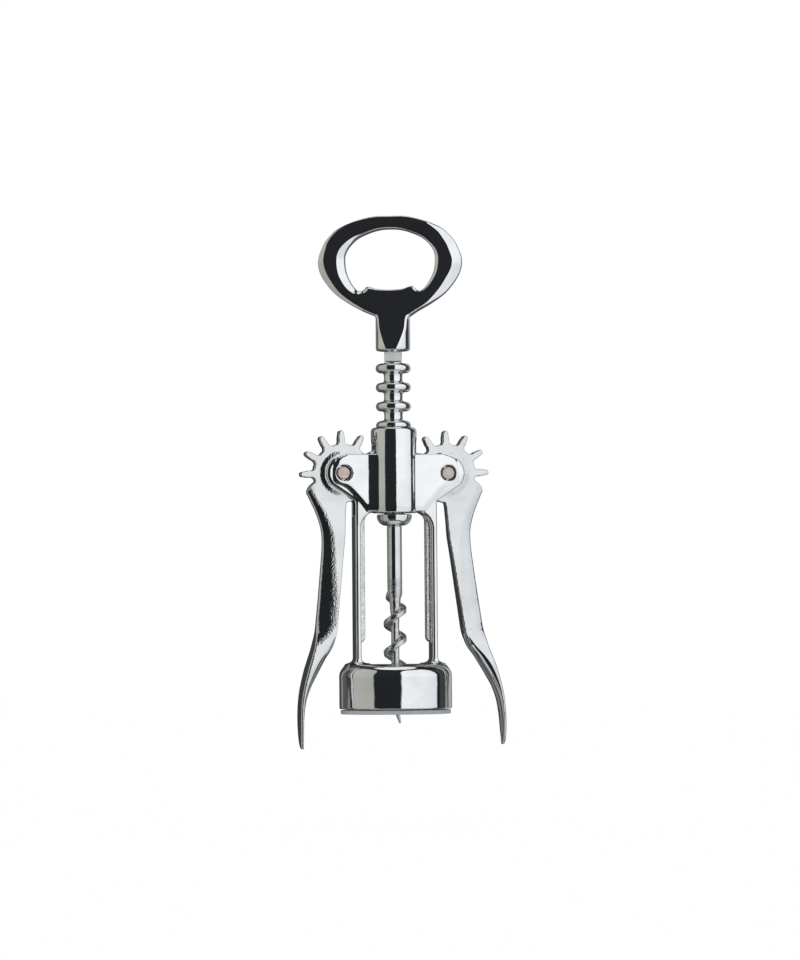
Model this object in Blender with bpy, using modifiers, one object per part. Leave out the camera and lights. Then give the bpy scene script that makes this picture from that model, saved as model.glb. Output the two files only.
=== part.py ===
"""Wing corkscrew with a cap lifter in its handle.

The two levers turn on pins in the frame and their teeth mesh with the rings of a sliding rack. The
worm's stem runs up through the rack into the handle, so handle and worm turn together in the rack.

Metres, +Z up. The worm's axis is the Z axis, and Z = 0 is the face that seats on the bottle's lip.
The frame's front faces -Y. The model is at rest with the worm raised and both levers down.
"""

import math

import bmesh
import bpy
from mathutils import Matrix, Vector

MM = 0.001

# Clearances
FIT = 0.3 * MM
OVERRUN = 4 * MM
EMBED = 0.8 * MM

# Rack and gear teeth
RACK_PITCH = 6.376 * MM
TEETH_PER_TURN = 12
RING_COUNT = 9
RINGS_ABOVE_PIVOT = 6
RING_RADIUS = 5.85 * MM
RING_THICKNESS = 3.05 * MM
RING_EDGE_RADIUS = 1.2 * MM
LAST_RING_THICKNESS = 3.75 * MM
LAST_RING_FOOT_RADIUS = 2.4 * MM
RACK_CORE_RADIUS = 3.1 * MM
RACK_NECK_LENGTH = 0.4 * MM
PITCH_LINE_DEPTH = 0.28 * MM
TOOTH_COUNT = 7
TOOTH_TIP_GAP = 0.35 * MM
TOOTH_ROOT_GAP = 2.1 * MM
TOOTH_TIP_WIDTH = 1.75 * MM
TOOTH_ROOT_WIDTH = 2.3 * MM
HOOK_LENGTH = 3.7 * MM

# Levers, measured from their pivots
LEVER_DROP = 90.5 * MM
LEVER_PLAY_ANGLE = math.radians(1.5)
LEVER_REACH = 19.5 * MM
LEVER_THICKNESS = 3.6 * MM
KNEE_DROP = 53 * MM
KNEE_THICKNESS = 7.5 * MM
ARM_WIDTH = 6.8 * MM
ARM_EDGE_RADIUS = 1.1 * MM
PAD_WIDTH = 9.5 * MM
PAD_TIP_THICKNESS = 1.1 * MM
PAD_END_WIDTH = 1.2 * MM

# Pivot pins
PIN_RADIUS = 2.1 * MM
PIN_EDGE = 0.25 * MM
COUNTERSINK_WIDTH = 0.35 * MM

# Frame
BORE_GAP = 0.35 * MM
BARREL_WALL = 1.43 * MM
BARREL_ABOVE_PIVOT = 15.3 * MM
BARREL_BELOW_PIVOT = 13.2 * MM
BARREL_TOP_EDGE = 1.4 * MM
BARREL_FOOT_EDGE = 0.5 * MM
CHEEK_WALL = 2.1 * MM
CHEEK_EDGE = 0.9 * MM
EAR_RADIUS = 5.9 * MM
EAR_RISE = 0.8 * MM
LEDGE_SETBACK = 0.15 * MM
LEDGE_WALL = 1.7 * MM
SLOT_GAP = 0.3 * MM
LEG_INNER = 12.05 * MM
LEG_THICKNESS = 1.85 * MM
LEG_EDGE = 0.5 * MM
LEG_SHOULDER_DROP = 9.6 * MM
ARCH_RADIUS = 6 * MM
ARCH_RISE = 0.6 * MM
FOOT_FLARE = 1.6 * MM
RIB_DEPTH = 1.8 * MM
RIB_THICKNESS = 2 * MM
RIB_ARCH_RADIUS = 3.6 * MM
RIB_FOOT_GAP = 9 * MM

# Bell and its plastic insert
BELL_RADIUS = 18.75 * MM
BELL_WALL = 2.25 * MM
BELL_ROOF = 2.8 * MM
BELL_BELOW_PIVOT = 63.5 * MM
BELL_HEIGHT = 14.8 * MM
BELL_SHOULDER_RADIUS = 4 * MM
BELL_RIM_EDGE = 0.5 * MM
INSERT_FLANGE_THICKNESS = 1.4 * MM
INSERT_FLANGE_SETBACK = 0.4 * MM
INSERT_WALL = 1.2 * MM
INSERT_ROOF = 1.5 * MM
GUIDE_WALL = 1.1 * MM
GUIDE_GAP = 0.65 * MM

# Worm
SHAFT_RADIUS = 2.5 * MM
SHAFT_LENGTH = 23 * MM
SHAFT_STEP_LENGTH = 1.6 * MM
STEM_RADIUS = 1.8 * MM
STEM_LENGTH_IN_HANDLE = 11 * MM
WORM_CORE_RADIUS = 1.35 * MM
WORM_RADIUS = 3.95 * MM
WORM_PITCH = 9.6 * MM
WORM_LENGTH = 42.5 * MM
WORM_POINT_LENGTH = 7 * MM
WORM_POINT_RADIUS = 0.3 * MM
WORM_POINT_SHIFT = 1.5 * MM
FLIGHT_LEAD_IN = 2.2 * MM
FLIGHT_EDGE_WIDTH = 1.6 * MM
FLIGHT_ROOT_WIDTH = 2.9 * MM
FLIGHT_START_ANGLE = math.radians(94)

# Handle
BUSH_RADIUS = 2.95 * MM
BUSH_HEIGHT = 3.3 * MM
COLLAR_GAP = 0.46 * MM
COLLAR_EDGE = 0.7 * MM
NECK_HEIGHT = 11.6 * MM
NECK_ROUND_HEIGHT = 0.7 * MM
NECK_TAPER_RISE = 0.5 * MM
TONGUE_LENGTH = 6.5 * MM
HANDLE_WIDTH = 48.2 * MM
HANDLE_RING_HEIGHT = 33.4 * MM
RING_OFFSET = -0.75 * MM
HANDLE_THICKNESS = 6 * MM
HANDLE_EDGE_RADIUS = 1.9 * MM
HOLE_WIDTH = 30.3 * MM
HOLE_HEIGHT = 20.9 * MM
HANDLE_BAND_TOP = 4.1 * MM
HANDLE_ANGLE = math.radians(-17)

# Sizes that follow from the ones above
TOOTH_SPACING = 2 * math.pi / TEETH_PER_TURN
PITCH_RADIUS = RACK_PITCH / TOOTH_SPACING
PIVOT_REACH = RING_RADIUS - PITCH_LINE_DEPTH + PITCH_RADIUS
TOOTH_TIP_RADIUS = PIVOT_REACH - RACK_CORE_RADIUS - TOOTH_TIP_GAP
TOOTH_ROOT_RADIUS = PIVOT_REACH - RING_RADIUS - TOOTH_ROOT_GAP

PIN_HOLE_RADIUS = PIN_RADIUS + FIT
SLOT_HALF = LEVER_THICKNESS / 2 + FIT
CHEEK_HALF = SLOT_HALF + CHEEK_WALL
BORE_RADIUS = RING_RADIUS + BORE_GAP
BARREL_RADIUS = BORE_RADIUS + BARREL_WALL
BELL_TOP = INSERT_ROOF + FIT + BELL_ROOF
BELL_BOTTOM = BELL_TOP - BELL_HEIGHT
PIVOT_HEIGHT = BELL_TOP + BELL_BELOW_PIVOT
BARREL_TOP = PIVOT_HEIGHT + BARREL_ABOVE_PIVOT
BARREL_BOTTOM = PIVOT_HEIGHT - BARREL_BELOW_PIVOT
LEDGE_HALF = SLOT_HALF + LEDGE_WALL
LEG_OUTER = LEG_INNER + LEG_THICKNESS

TOP_RING = PIVOT_HEIGHT + RACK_PITCH * (RINGS_ABOVE_PIVOT - 0.5)
SLEEVE_TOP = TOP_RING + RING_THICKNESS / 2 + RACK_NECK_LENGTH
SLEEVE_BOTTOM = TOP_RING - RACK_PITCH * (RING_COUNT - 1) - RING_THICKNESS / 2
BUSH_BOTTOM = SLEEVE_TOP + FIT
COLLAR_RADIUS = BORE_RADIUS - COLLAR_GAP
COLLAR_BOTTOM = BUSH_BOTTOM + BUSH_HEIGHT + FIT
RING_BOTTOM = COLLAR_BOTTOM + NECK_HEIGHT
HANDLE_TOP = RING_BOTTOM + HANDLE_RING_HEIGHT
STEM_HOLE_RADIUS = STEM_RADIUS + FIT

# Counts that set how fine the round shapes are
ROUND_STEPS = 48
SMALL_ROUND_STEPS = 24
TINY_ROUND_STEPS = 16
FLIGHT_STEPS_PER_TURN = 18
WELD_DISTANCE = 0.005 * MM
FLAT_ANGLE = math.radians(0.5)


# Collections and materials

def make_collection(name):
    """Add a collection to the scene."""
    collection = bpy.data.collections.new(name)
    bpy.context.scene.collection.children.link(collection)
    return collection


def make_material(name, colour, roughness, metallic):
    """Make a Principled material."""
    material = bpy.data.materials.new(name)
    material.use_nodes = True
    shader = material.node_tree.nodes["Principled BSDF"]
    shader.inputs["Base Color"].default_value = (*colour, 1.0)
    shader.inputs["Roughness"].default_value = roughness
    shader.inputs["Metallic"].default_value = metallic
    material.diffuse_color = (*colour, 1.0)
    return material


# Outline helpers

def arc(centre, radius, start, end, steps):
    """Points on an arc, both ends included, angles in radians."""
    points = []
    for index in range(steps + 1):
        angle = start + (end - start) * index / steps
        points.append((centre[0] + radius * math.cos(angle), centre[1] + radius * math.sin(angle)))
    return points


def spline_point(before, start, end, after, part):
    """A point on the smooth curve from start to end (Catmull-Rom)."""
    values = []
    for a, b, c, d in zip(before, start, end, after):
        bend = (2 * a - 5 * b + 4 * c - d) * part + (3 * b - a - 3 * c + d) * part * part
        values.append(b + ((c - a) + bend) * part / 2)
    return tuple(values)


def smooth_run(points, steps):
    """An open smooth curve through the points."""
    padded = [points[0], *points, points[-1]]
    result = []
    for index in range(len(points) - 1):
        for step in range(steps):
            result.append(spline_point(*padded[index:index + 4], step / steps))
    result.append(points[-1])
    return result


def value_at(table, place):
    """Read a table of rows (place, value, value ...) at a place between its rows, smoothly."""
    rows = sorted(table)
    last = len(rows) - 1
    index = 0
    while index < last - 1 and rows[index + 1][0] <= place:
        index += 1
    start, end = rows[index], rows[index + 1]
    part = min(max((place - start[0]) / (end[0] - start[0]), 0.0), 1.0)
    before = rows[max(index - 1, 0)]
    after = rows[min(index + 2, last)]
    return spline_point(before[1:], start[1:], end[1:], after[1:], part)


def mirrored(points):
    """The points reflected to the other side of the Z axis, in reverse order."""
    return [(-x, z) for x, z in reversed(points)]


# Object helpers

def link_mesh(name, mesh, collection):
    """Put a mesh into the scene as an object."""
    obj = bpy.data.objects.new(name, mesh)
    collection.objects.link(obj)
    return obj


def closed_mesh(name, points, faces, collection):
    """An object from the points and faces of a closed shape, its faces turned outward."""
    mesh = bpy.data.meshes.new(name)
    mesh.from_pydata(points, [], faces)
    shape = bmesh.new()
    shape.from_mesh(mesh)
    bmesh.ops.recalc_face_normals(shape, faces=shape.faces)
    shape.to_mesh(mesh)
    shape.free()
    return link_mesh(name, mesh, collection)


def evaluated_copy(obj, name, collection, weld=True, merge_flats=False):
    """Replace an object by a plain mesh object of its evaluated shape."""
    bpy.context.view_layer.update()
    evaluated = obj.evaluated_get(bpy.context.evaluated_depsgraph_get())
    mesh = bpy.data.meshes.new_from_object(evaluated)
    matrix = obj.matrix_world.copy()
    bpy.data.objects.remove(obj)
    mesh.transform(matrix)
    shape = bmesh.new()
    shape.from_mesh(mesh)
    if weld:
        bmesh.ops.remove_doubles(shape, verts=shape.verts, dist=WELD_DISTANCE)
    if merge_flats:
        bmesh.ops.dissolve_limit(
            shape, angle_limit=FLAT_ANGLE, verts=shape.verts, edges=shape.edges
        )
    bmesh.ops.recalc_face_normals(shape, faces=shape.faces)
    shape.to_mesh(mesh)
    shape.free()
    return link_mesh(name, mesh, collection)


def prism(name, outline, half_depth, collection, holes=(), across=False):
    """A flat outline in the XZ plane, extruded to both sides along Y.

    With across set, the outline lies in the YZ plane and is extruded along X.
    """
    curve = bpy.data.curves.new(name, "CURVE")
    curve.dimensions = "2D"
    curve.fill_mode = "BOTH"
    curve.extrude = half_depth
    for points in (outline, *holes):
        spline = curve.splines.new("POLY")
        spline.points.add(len(points) - 1)
        for spot, (x, z) in zip(spline.points, points):
            spot.co = (x, z, 0, 1)
        spline.use_cyclic_u = True
    obj = bpy.data.objects.new(name, curve)
    collection.objects.link(obj)
    obj.rotation_euler = (math.pi / 2, 0, math.pi / 2 if across else 0)
    return evaluated_copy(obj, name, collection, merge_flats=True)


def turned(name, profile, collection, steps=ROUND_STEPS, closed=False):
    """A turned shape from a profile of (radius, height) points that runs down its outer side.

    A closed profile gives a ring with a bore, an open one has to start and end on the axis.
    """
    mesh = bpy.data.meshes.new(name)
    edges = [(index, index + 1) for index in range(len(profile) - 1)]
    if closed:
        edges.append((len(profile) - 1, 0))
    mesh.from_pydata([(radius, 0, height) for radius, height in profile], edges, [])
    obj = link_mesh(name, mesh, collection)
    screw = obj.modifiers.new("Screw", "SCREW")
    screw.axis = "Z"
    screw.steps = steps
    screw.render_steps = steps
    screw.use_merge_vertices = True
    screw.merge_threshold = WELD_DISTANCE
    return evaluated_copy(obj, name, collection)


def cylinder(name, radius, length, place, axis, collection, steps=ROUND_STEPS, top_radius=None):
    """A cylinder or cone centred at a place, along X, Y or Z."""
    shape = bmesh.new()
    bmesh.ops.create_cone(
        shape,
        cap_ends=True,
        segments=steps,
        radius1=radius,
        radius2=radius if top_radius is None else top_radius,
        depth=length,
    )
    mesh = bpy.data.meshes.new(name)
    shape.to_mesh(mesh)
    shape.free()
    turn = Vector((0, 0, 1)).rotation_difference(Vector(axis)).to_matrix().to_4x4()
    mesh.transform(Matrix.Translation(place) @ turn)
    return link_mesh(name, mesh, collection)


def combine(target, operation, *shapes):
    """Add a Boolean that joins, cuts or intersects the target with all the given hidden shapes."""
    group = bpy.data.collections.new(f"{target.name}_{operation.lower()}")
    target.users_collection[0].children.link(group)
    for shape in shapes:
        for collection in shape.users_collection:
            collection.objects.unlink(shape)
        group.objects.link(shape)
        shape.hide_render = True
        shape.display_type = "WIRE"
    modifier = target.modifiers.new(operation.title(), "BOOLEAN")
    modifier.operation = operation
    modifier.solver = "EXACT"
    modifier.operand_type = "COLLECTION"
    modifier.collection = group


def bevel(obj, width, segments=2, angle=math.radians(50)):
    """Round the sharp edges of an object."""
    modifier = obj.modifiers.new("Bevel", "BEVEL")
    modifier.width = width
    modifier.segments = segments
    modifier.limit_method = "ANGLE"
    modifier.angle_limit = angle


def finish(obj, parts, material, origin=(0, 0, 0), turn=0.0):
    """Bake an object's Booleans, set its origin, its turn about the worm's axis and its material."""
    name = obj.name
    done = evaluated_copy(obj, f"{name}_shape", parts, weld=False)
    done.name = name
    done.data.name = name
    done.data.transform(Matrix.Translation(-Vector(origin)))
    done.location = origin
    done.rotation_euler = (0, 0, turn)
    done.data.materials.clear()
    done.data.materials.append(material)
    done.data.shade_smooth()
    done.data.set_sharp_from_angle(angle=math.radians(35))
    return done


# Frame

def ear_outline():
    """Outline of the cheek plate with both ears, seen from the front."""
    pivot = (PIVOT_REACH, PIVOT_HEIGHT)
    outside = [(BARREL_RADIUS, PIVOT_HEIGHT + EAR_RADIUS + EAR_RISE)]
    outside += arc(pivot, EAR_RADIUS, math.pi / 2, -math.pi / 4, 9)
    outside.append((BARREL_RADIUS - EMBED, BARREL_BOTTOM + EMBED))
    return outside + mirrored(outside)


def leg_outline():
    """Outline of the ledges under the ears, the arches and the legs, seen from the front."""
    pivot = (PIVOT_REACH, PIVOT_HEIGHT)
    radius = EAR_RADIUS - LEDGE_SETBACK
    shoulder = (LEG_OUTER, PIVOT_HEIGHT - LEG_SHOULDER_DROP)
    away = Vector((shoulder[0] - pivot[0], shoulder[1] - pivot[1]))
    lean = math.atan2(away.y, away.x) + math.acos(min(radius / away.length, 1.0))
    outside = [(BARREL_RADIUS - EMBED, PIVOT_HEIGHT)]
    outside += arc(pivot, radius, 0, lean, 6)
    knee = spline_point(outside[-2], outside[-1], shoulder, (LEG_OUTER, BARREL_BOTTOM), 0.5)
    outside += [knee, shoulder]
    foot = BELL_TOP - EMBED
    flare = (LEG_OUTER + FOOT_FLARE, BELL_TOP + FOOT_FLARE)
    outside += arc(flare, FOOT_FLARE, math.pi, 1.5 * math.pi, 3)
    outside += [(LEG_OUTER + FOOT_FLARE, foot), (LEG_INNER - FOOT_FLARE, foot)]
    flare = (LEG_INNER - FOOT_FLARE, BELL_TOP + FOOT_FLARE)
    outside += arc(flare, FOOT_FLARE, -math.pi / 2, 0, 3)
    arch_top = BARREL_BOTTOM + ARCH_RISE
    outside += arc((LEG_INNER - ARCH_RADIUS, arch_top - ARCH_RADIUS), ARCH_RADIUS, 0, math.pi / 2, 6)
    return outside + mirrored(outside)


def rib_outline():
    """Outline of the rough rib along the inner side of the right leg."""
    inner = LEG_INNER - RIB_DEPTH
    back = LEG_INNER + LEG_THICKNESS / 2
    arch_top = BARREL_BOTTOM + ARCH_RISE
    foot = BELL_TOP + RIB_FOOT_GAP
    outline = [(back, arch_top), (back, foot - RIB_DEPTH)]
    outline += arc((LEG_INNER, foot), RIB_DEPTH, -math.pi / 2, -math.pi, 3)
    corner = (inner - RIB_ARCH_RADIUS, arch_top - RIB_ARCH_RADIUS)
    outline += arc(corner, RIB_ARCH_RADIUS, 0, math.pi / 2, 4)
    return outline + [(inner - RIB_ARCH_RADIUS, arch_top + RIB_DEPTH), (back, arch_top + RIB_DEPTH)]


def bell_profile():
    """Outer profile of the bell, top to bottom."""
    corner = (BELL_RADIUS - BELL_SHOULDER_RADIUS, BELL_TOP - BELL_SHOULDER_RADIUS)
    profile = [(0, BELL_TOP)]
    profile += arc(corner, BELL_SHOULDER_RADIUS, math.pi / 2, 0, 5)
    profile += [(BELL_RADIUS, BELL_BOTTOM + BELL_RIM_EDGE), (BELL_RADIUS - BELL_RIM_EDGE, BELL_BOTTOM)]
    return profile + [(0, BELL_BOTTOM)]


def barrel_profile():
    """Outer profile of the barrel, top to bottom."""
    corner = (BARREL_RADIUS - BARREL_TOP_EDGE, BARREL_TOP - BARREL_TOP_EDGE)
    profile = [(0, BARREL_TOP)]
    profile += arc(corner, BARREL_TOP_EDGE, math.pi / 2, 0, 3)
    profile += [(BARREL_RADIUS, BARREL_BOTTOM + BARREL_FOOT_EDGE)]
    return profile + [(BARREL_RADIUS - BARREL_FOOT_EDGE, BARREL_BOTTOM), (0, BARREL_BOTTOM)]


def pin_hole(name, pivot, collection):
    """The cutter for a pin's hole through both cheeks, widened like a cone at both faces."""
    reach = CHEEK_HALF + OVERRUN
    throat = CHEEK_HALF - COUNTERSINK_WIDTH
    mouth_radius = PIN_HOLE_RADIUS + reach - throat
    profile = [
        (0, reach),
        (mouth_radius, reach),
        (PIN_HOLE_RADIUS, throat),
        (PIN_HOLE_RADIUS, -throat),
        (mouth_radius, -reach),
        (0, -reach),
    ]
    hole = turned(name, profile, collection, SMALL_ROUND_STEPS)
    hole.data.transform(Matrix.Translation(pivot) @ Matrix.Rotation(math.pi / 2, 4, "X"))
    return hole


def build_frame(parts, tools, material):
    """The casting: barrel, ears, legs and bell, with its bore, slots, pin holes and cavity."""
    frame = prism("frame", ear_outline(), CHEEK_HALF, tools)
    bevel(frame, CHEEK_EDGE, angle=math.radians(60))
    legs = prism("legs", leg_outline(), LEDGE_HALF, tools)
    bevel(legs, LEG_EDGE, angle=math.radians(60))
    combine(
        frame,
        "UNION",
        legs,
        prism("rib_left", mirrored(rib_outline()), RIB_THICKNESS / 2, tools),
        prism("rib_right", rib_outline(), RIB_THICKNESS / 2, tools),
        turned("barrel", barrel_profile(), tools),
        turned("bell", bell_profile(), tools),
    )

    cavity_radius = BELL_RADIUS - BELL_WALL
    cavity_top = BELL_TOP - BELL_ROOF
    cavity_low = BELL_BOTTOM - OVERRUN
    roof_hole_radius = WORM_RADIUS + GUIDE_GAP + GUIDE_WALL + FIT
    roof_cut_top = BELL_TOP + OVERRUN
    cavity_profile = [
        (0, roof_cut_top),
        (roof_hole_radius, roof_cut_top),
        (roof_hole_radius, cavity_top),
        (cavity_radius, cavity_top),
        (cavity_radius, cavity_low),
        (0, cavity_low),
    ]
    bore_length = BARREL_TOP - BARREL_BOTTOM + 2 * OVERRUN
    middle = Vector((0, 0, (BARREL_TOP + BARREL_BOTTOM) / 2))
    cutters = [
        turned("bell_cavity", cavity_profile, tools),
        cylinder("barrel_bore", BORE_RADIUS, bore_length, middle, (0, 0, 1), tools),
    ]
    slot_radius = TOOTH_TIP_RADIUS + SLOT_GAP
    for side, word in ((-1, "left"), (1, "right")):
        pivot = Vector((side * PIVOT_REACH, 0, PIVOT_HEIGHT))
        cutters.append(cylinder(f"slot_{word}", slot_radius, 2 * SLOT_HALF, pivot, (0, 1, 0), tools))
        cutters.append(pin_hole(f"pin_hole_{word}", pivot, tools))
    combine(frame, "DIFFERENCE", *cutters)
    return finish(frame, parts, material)


# Bell insert

def build_insert(parts, tools, material):
    """The plastic insert: flange under the bell's rim, skirt, roof and the worm's guide."""
    flange_top = BELL_BOTTOM - FIT
    flange_bottom = flange_top - INSERT_FLANGE_THICKNESS
    flange_radius = BELL_RADIUS - INSERT_FLANGE_SETBACK
    skirt_radius = BELL_RADIUS - BELL_WALL - FIT
    recess_radius = skirt_radius - INSERT_WALL
    roof_top = BELL_TOP - BELL_ROOF - FIT
    recess_top = roof_top - INSERT_ROOF
    guide_bore = WORM_RADIUS + GUIDE_GAP
    guide_radius = guide_bore + GUIDE_WALL
    profile = [
        (guide_bore, BELL_TOP),
        (guide_radius, BELL_TOP),
        (guide_radius, roof_top),
        (skirt_radius, roof_top),
        (skirt_radius, flange_top),
        (flange_radius, flange_top),
        (flange_radius, flange_bottom),
        (recess_radius, flange_bottom),
        (recess_radius, recess_top),
        (guide_bore, recess_top),
    ]
    insert = turned("bell_insert", profile, tools, closed=True)
    return finish(insert, parts, material)


# Rack sleeve and bush

def ring_profile(bottom, thickness, foot_radius):
    """Outer profile of one ring of the rack, top to bottom, rounded at its top and its foot."""
    top = bottom + thickness
    shoulder = (RING_RADIUS - RING_EDGE_RADIUS, top - RING_EDGE_RADIUS)
    points = [(RACK_CORE_RADIUS, top)]
    points += arc(shoulder, RING_EDGE_RADIUS, math.pi / 2, 0, 2)
    points += arc((RING_RADIUS - foot_radius, bottom + foot_radius), foot_radius, 0, -math.pi / 2, 2)
    return points + [(RACK_CORE_RADIUS, bottom)]


def build_sleeve(parts, tools, material):
    """The turned rack, with a bore for the worm's stem and a bowl-shaped last ring."""
    profile = [(STEM_HOLE_RADIUS, SLEEVE_TOP), (RACK_CORE_RADIUS, SLEEVE_TOP)]
    first_bottom = TOP_RING - RING_THICKNESS / 2
    for index in range(RING_COUNT - 1):
        profile += ring_profile(first_bottom - RACK_PITCH * index, RING_THICKNESS, RING_EDGE_RADIUS)
    foot_radius = min(LAST_RING_FOOT_RADIUS, RING_RADIUS - RACK_CORE_RADIUS)
    profile += ring_profile(SLEEVE_BOTTOM, LAST_RING_THICKNESS, foot_radius)
    profile[-1] = (STEM_HOLE_RADIUS, SLEEVE_BOTTOM)
    sleeve = turned("rack_sleeve", profile, tools, SMALL_ROUND_STEPS, closed=True)
    return finish(sleeve, parts, material)


def build_bush(parts, tools, material):
    """The nylon bush between the rack and the handle."""
    top = BUSH_BOTTOM + BUSH_HEIGHT
    profile = [
        (STEM_HOLE_RADIUS, top),
        (BUSH_RADIUS, top),
        (BUSH_RADIUS, BUSH_BOTTOM),
        (STEM_HOLE_RADIUS, BUSH_BOTTOM),
    ]
    bush = turned("handle_bush", profile, tools, SMALL_ROUND_STEPS, closed=True)
    return finish(bush, parts, material)


# Worm

# The flight's height where it starts, how fast it swells and how far it shrinks at its tip.
FLIGHT_START_SHARE = 0.12
FLIGHT_SWELL_TURNS_SHARE = 0.25
FLIGHT_SHRINK_SHARE = 0.6
POINT_STATIONS = 4


def flight_mesh(top):
    """Points and faces of the helical flight, a loft of four-cornered sections down the core."""
    bottom = top - WORM_LENGTH + WORM_POINT_LENGTH / 2
    start = top - FLIGHT_LEAD_IN
    turns = (start - bottom) / WORM_PITCH
    count = max(int(turns * FLIGHT_STEPS_PER_TURN), 2)
    depth = WORM_RADIUS - WORM_CORE_RADIUS
    root_radius = WORM_CORE_RADIUS - min(EMBED, WORM_CORE_RADIUS / 2)
    corner_count = 4
    points = []
    faces = []
    for index in range(count + 1):
        part = index / count
        height = start - (start - bottom) * part
        angle = FLIGHT_START_ANGLE - 2 * math.pi * turns * part
        lead = min(part * turns / FLIGHT_SWELL_TURNS_SHARE, 1.0)
        tail = min((1 - part) * turns, 1.0)
        swell = math.sin(lead * math.pi / 2) * tail
        shrink = 1 - (1 - tail) * FLIGHT_SHRINK_SHARE
        root = root_radius * shrink
        crest = root + (depth + WORM_CORE_RADIUS - root_radius) * max(swell, FLIGHT_START_SHARE)
        corners = (
            (root, FLIGHT_ROOT_WIDTH / 2 * shrink),
            (crest, FLIGHT_EDGE_WIDTH / 2 * shrink),
            (crest, -FLIGHT_EDGE_WIDTH / 2 * shrink),
            (root, -FLIGHT_ROOT_WIDTH / 2 * shrink),
        )
        for radius, rise in corners:
            points.append((radius * math.cos(angle), radius * math.sin(angle), height + rise))
    for index in range(count):
        for corner in range(corner_count):
            after = (corner + 1) % corner_count
            low = corner_count * index
            high = low + corner_count
            faces.append((low + corner, low + after, high + after, high + corner))
    faces.append((3, 2, 1, 0))
    last = corner_count * count
    faces.append((last, last + 1, last + 2, last + 3))
    return points, faces


def build_worm(parts, tools, material):
    """Stem, shaft, core with its point off the axis, and the helical flight."""
    shoulder = SLEEVE_BOTTOM - FIT
    step = shoulder - SHAFT_LENGTH
    tip = step - WORM_LENGTH
    stem_top = COLLAR_BOTTOM + STEM_LENGTH_IN_HANDLE
    point_top = tip + WORM_POINT_LENGTH
    profile = [
        (0, stem_top),
        (STEM_RADIUS, stem_top),
        (STEM_RADIUS, shoulder),
        (SHAFT_RADIUS, shoulder),
        (SHAFT_RADIUS, step + SHAFT_STEP_LENGTH / 2),
        ((SHAFT_RADIUS + WORM_CORE_RADIUS) / 2, step),
        (WORM_CORE_RADIUS, step - SHAFT_STEP_LENGTH / 2),
        (WORM_CORE_RADIUS, point_top),
    ]
    for index in range(1, POINT_STATIONS + 1):
        part = index / POINT_STATIONS
        radius = WORM_CORE_RADIUS + (WORM_POINT_RADIUS - WORM_CORE_RADIUS) * part
        profile.append((radius, point_top - WORM_POINT_LENGTH * part))
    worm = turned("worm", [*profile, (0, tip)], tools, SMALL_ROUND_STEPS)
    for vertex in worm.data.vertices:
        part = max(point_top - vertex.co.z, 0.0) / WORM_POINT_LENGTH
        vertex.co.x += WORM_POINT_SHIFT * part * part
    flight = closed_mesh("worm_flight", *flight_mesh(step), tools)
    combine(worm, "UNION", flight)
    return finish(worm, parts, material, turn=HANDLE_ANGLE)


# Handle

# Half of the ring's outer outline, top to bottom: shares of half the width and of the height.
RING_OUTLINE_SHARES = (
    (0.0, 1.0),
    (0.24, 0.996),
    (0.49, 0.951),
    (0.713, 0.881),
    (0.823, 0.814),
    (0.90, 0.747),
    (0.94, 0.69),
    (0.975, 0.63),
    (1.0, 0.55),
    (0.976, 0.445),
    (0.896, 0.34),
    (0.762, 0.227),
    (0.582, 0.135),
    (0.385, 0.055),
)
# Half of the hole's outline, top to bottom, ending at the middle of the lifter's lip.
HOLE_OUTLINE_SHARES = (
    (0.0, 1.0),
    (0.25, 0.985),
    (0.493, 0.931),
    (0.703, 0.857),
    (0.865, 0.749),
    (0.973, 0.626),
    (1.0, 0.502),
    (0.973, 0.325),
    (0.899, 0.187),
    (0.804, 0.074),
    (0.703, 0.005),
    (0.642, 0.0),
    (0.588, 0.015),
    (0.486, 0.074),
    (0.284, 0.03),
    (0.0, 0.015),
)
TONGUE_WIDTH_SHARE = 0.8
OUTLINE_STEPS = 2


def side_outlines(shares, half_width, bottom, height):
    """Both sides of the ring's or the hole's outline, right one down and left one up."""
    points = [(x * half_width, bottom + z * height) for x, z in shares]
    before = (-points[1][0], points[1][1])
    right = smooth_run([before, *points], OUTLINE_STEPS)[OUTLINE_STEPS:]
    left = mirrored(right)
    return [[(x + RING_OFFSET, z) for x, z in side] for side in (right, left)]


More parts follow.
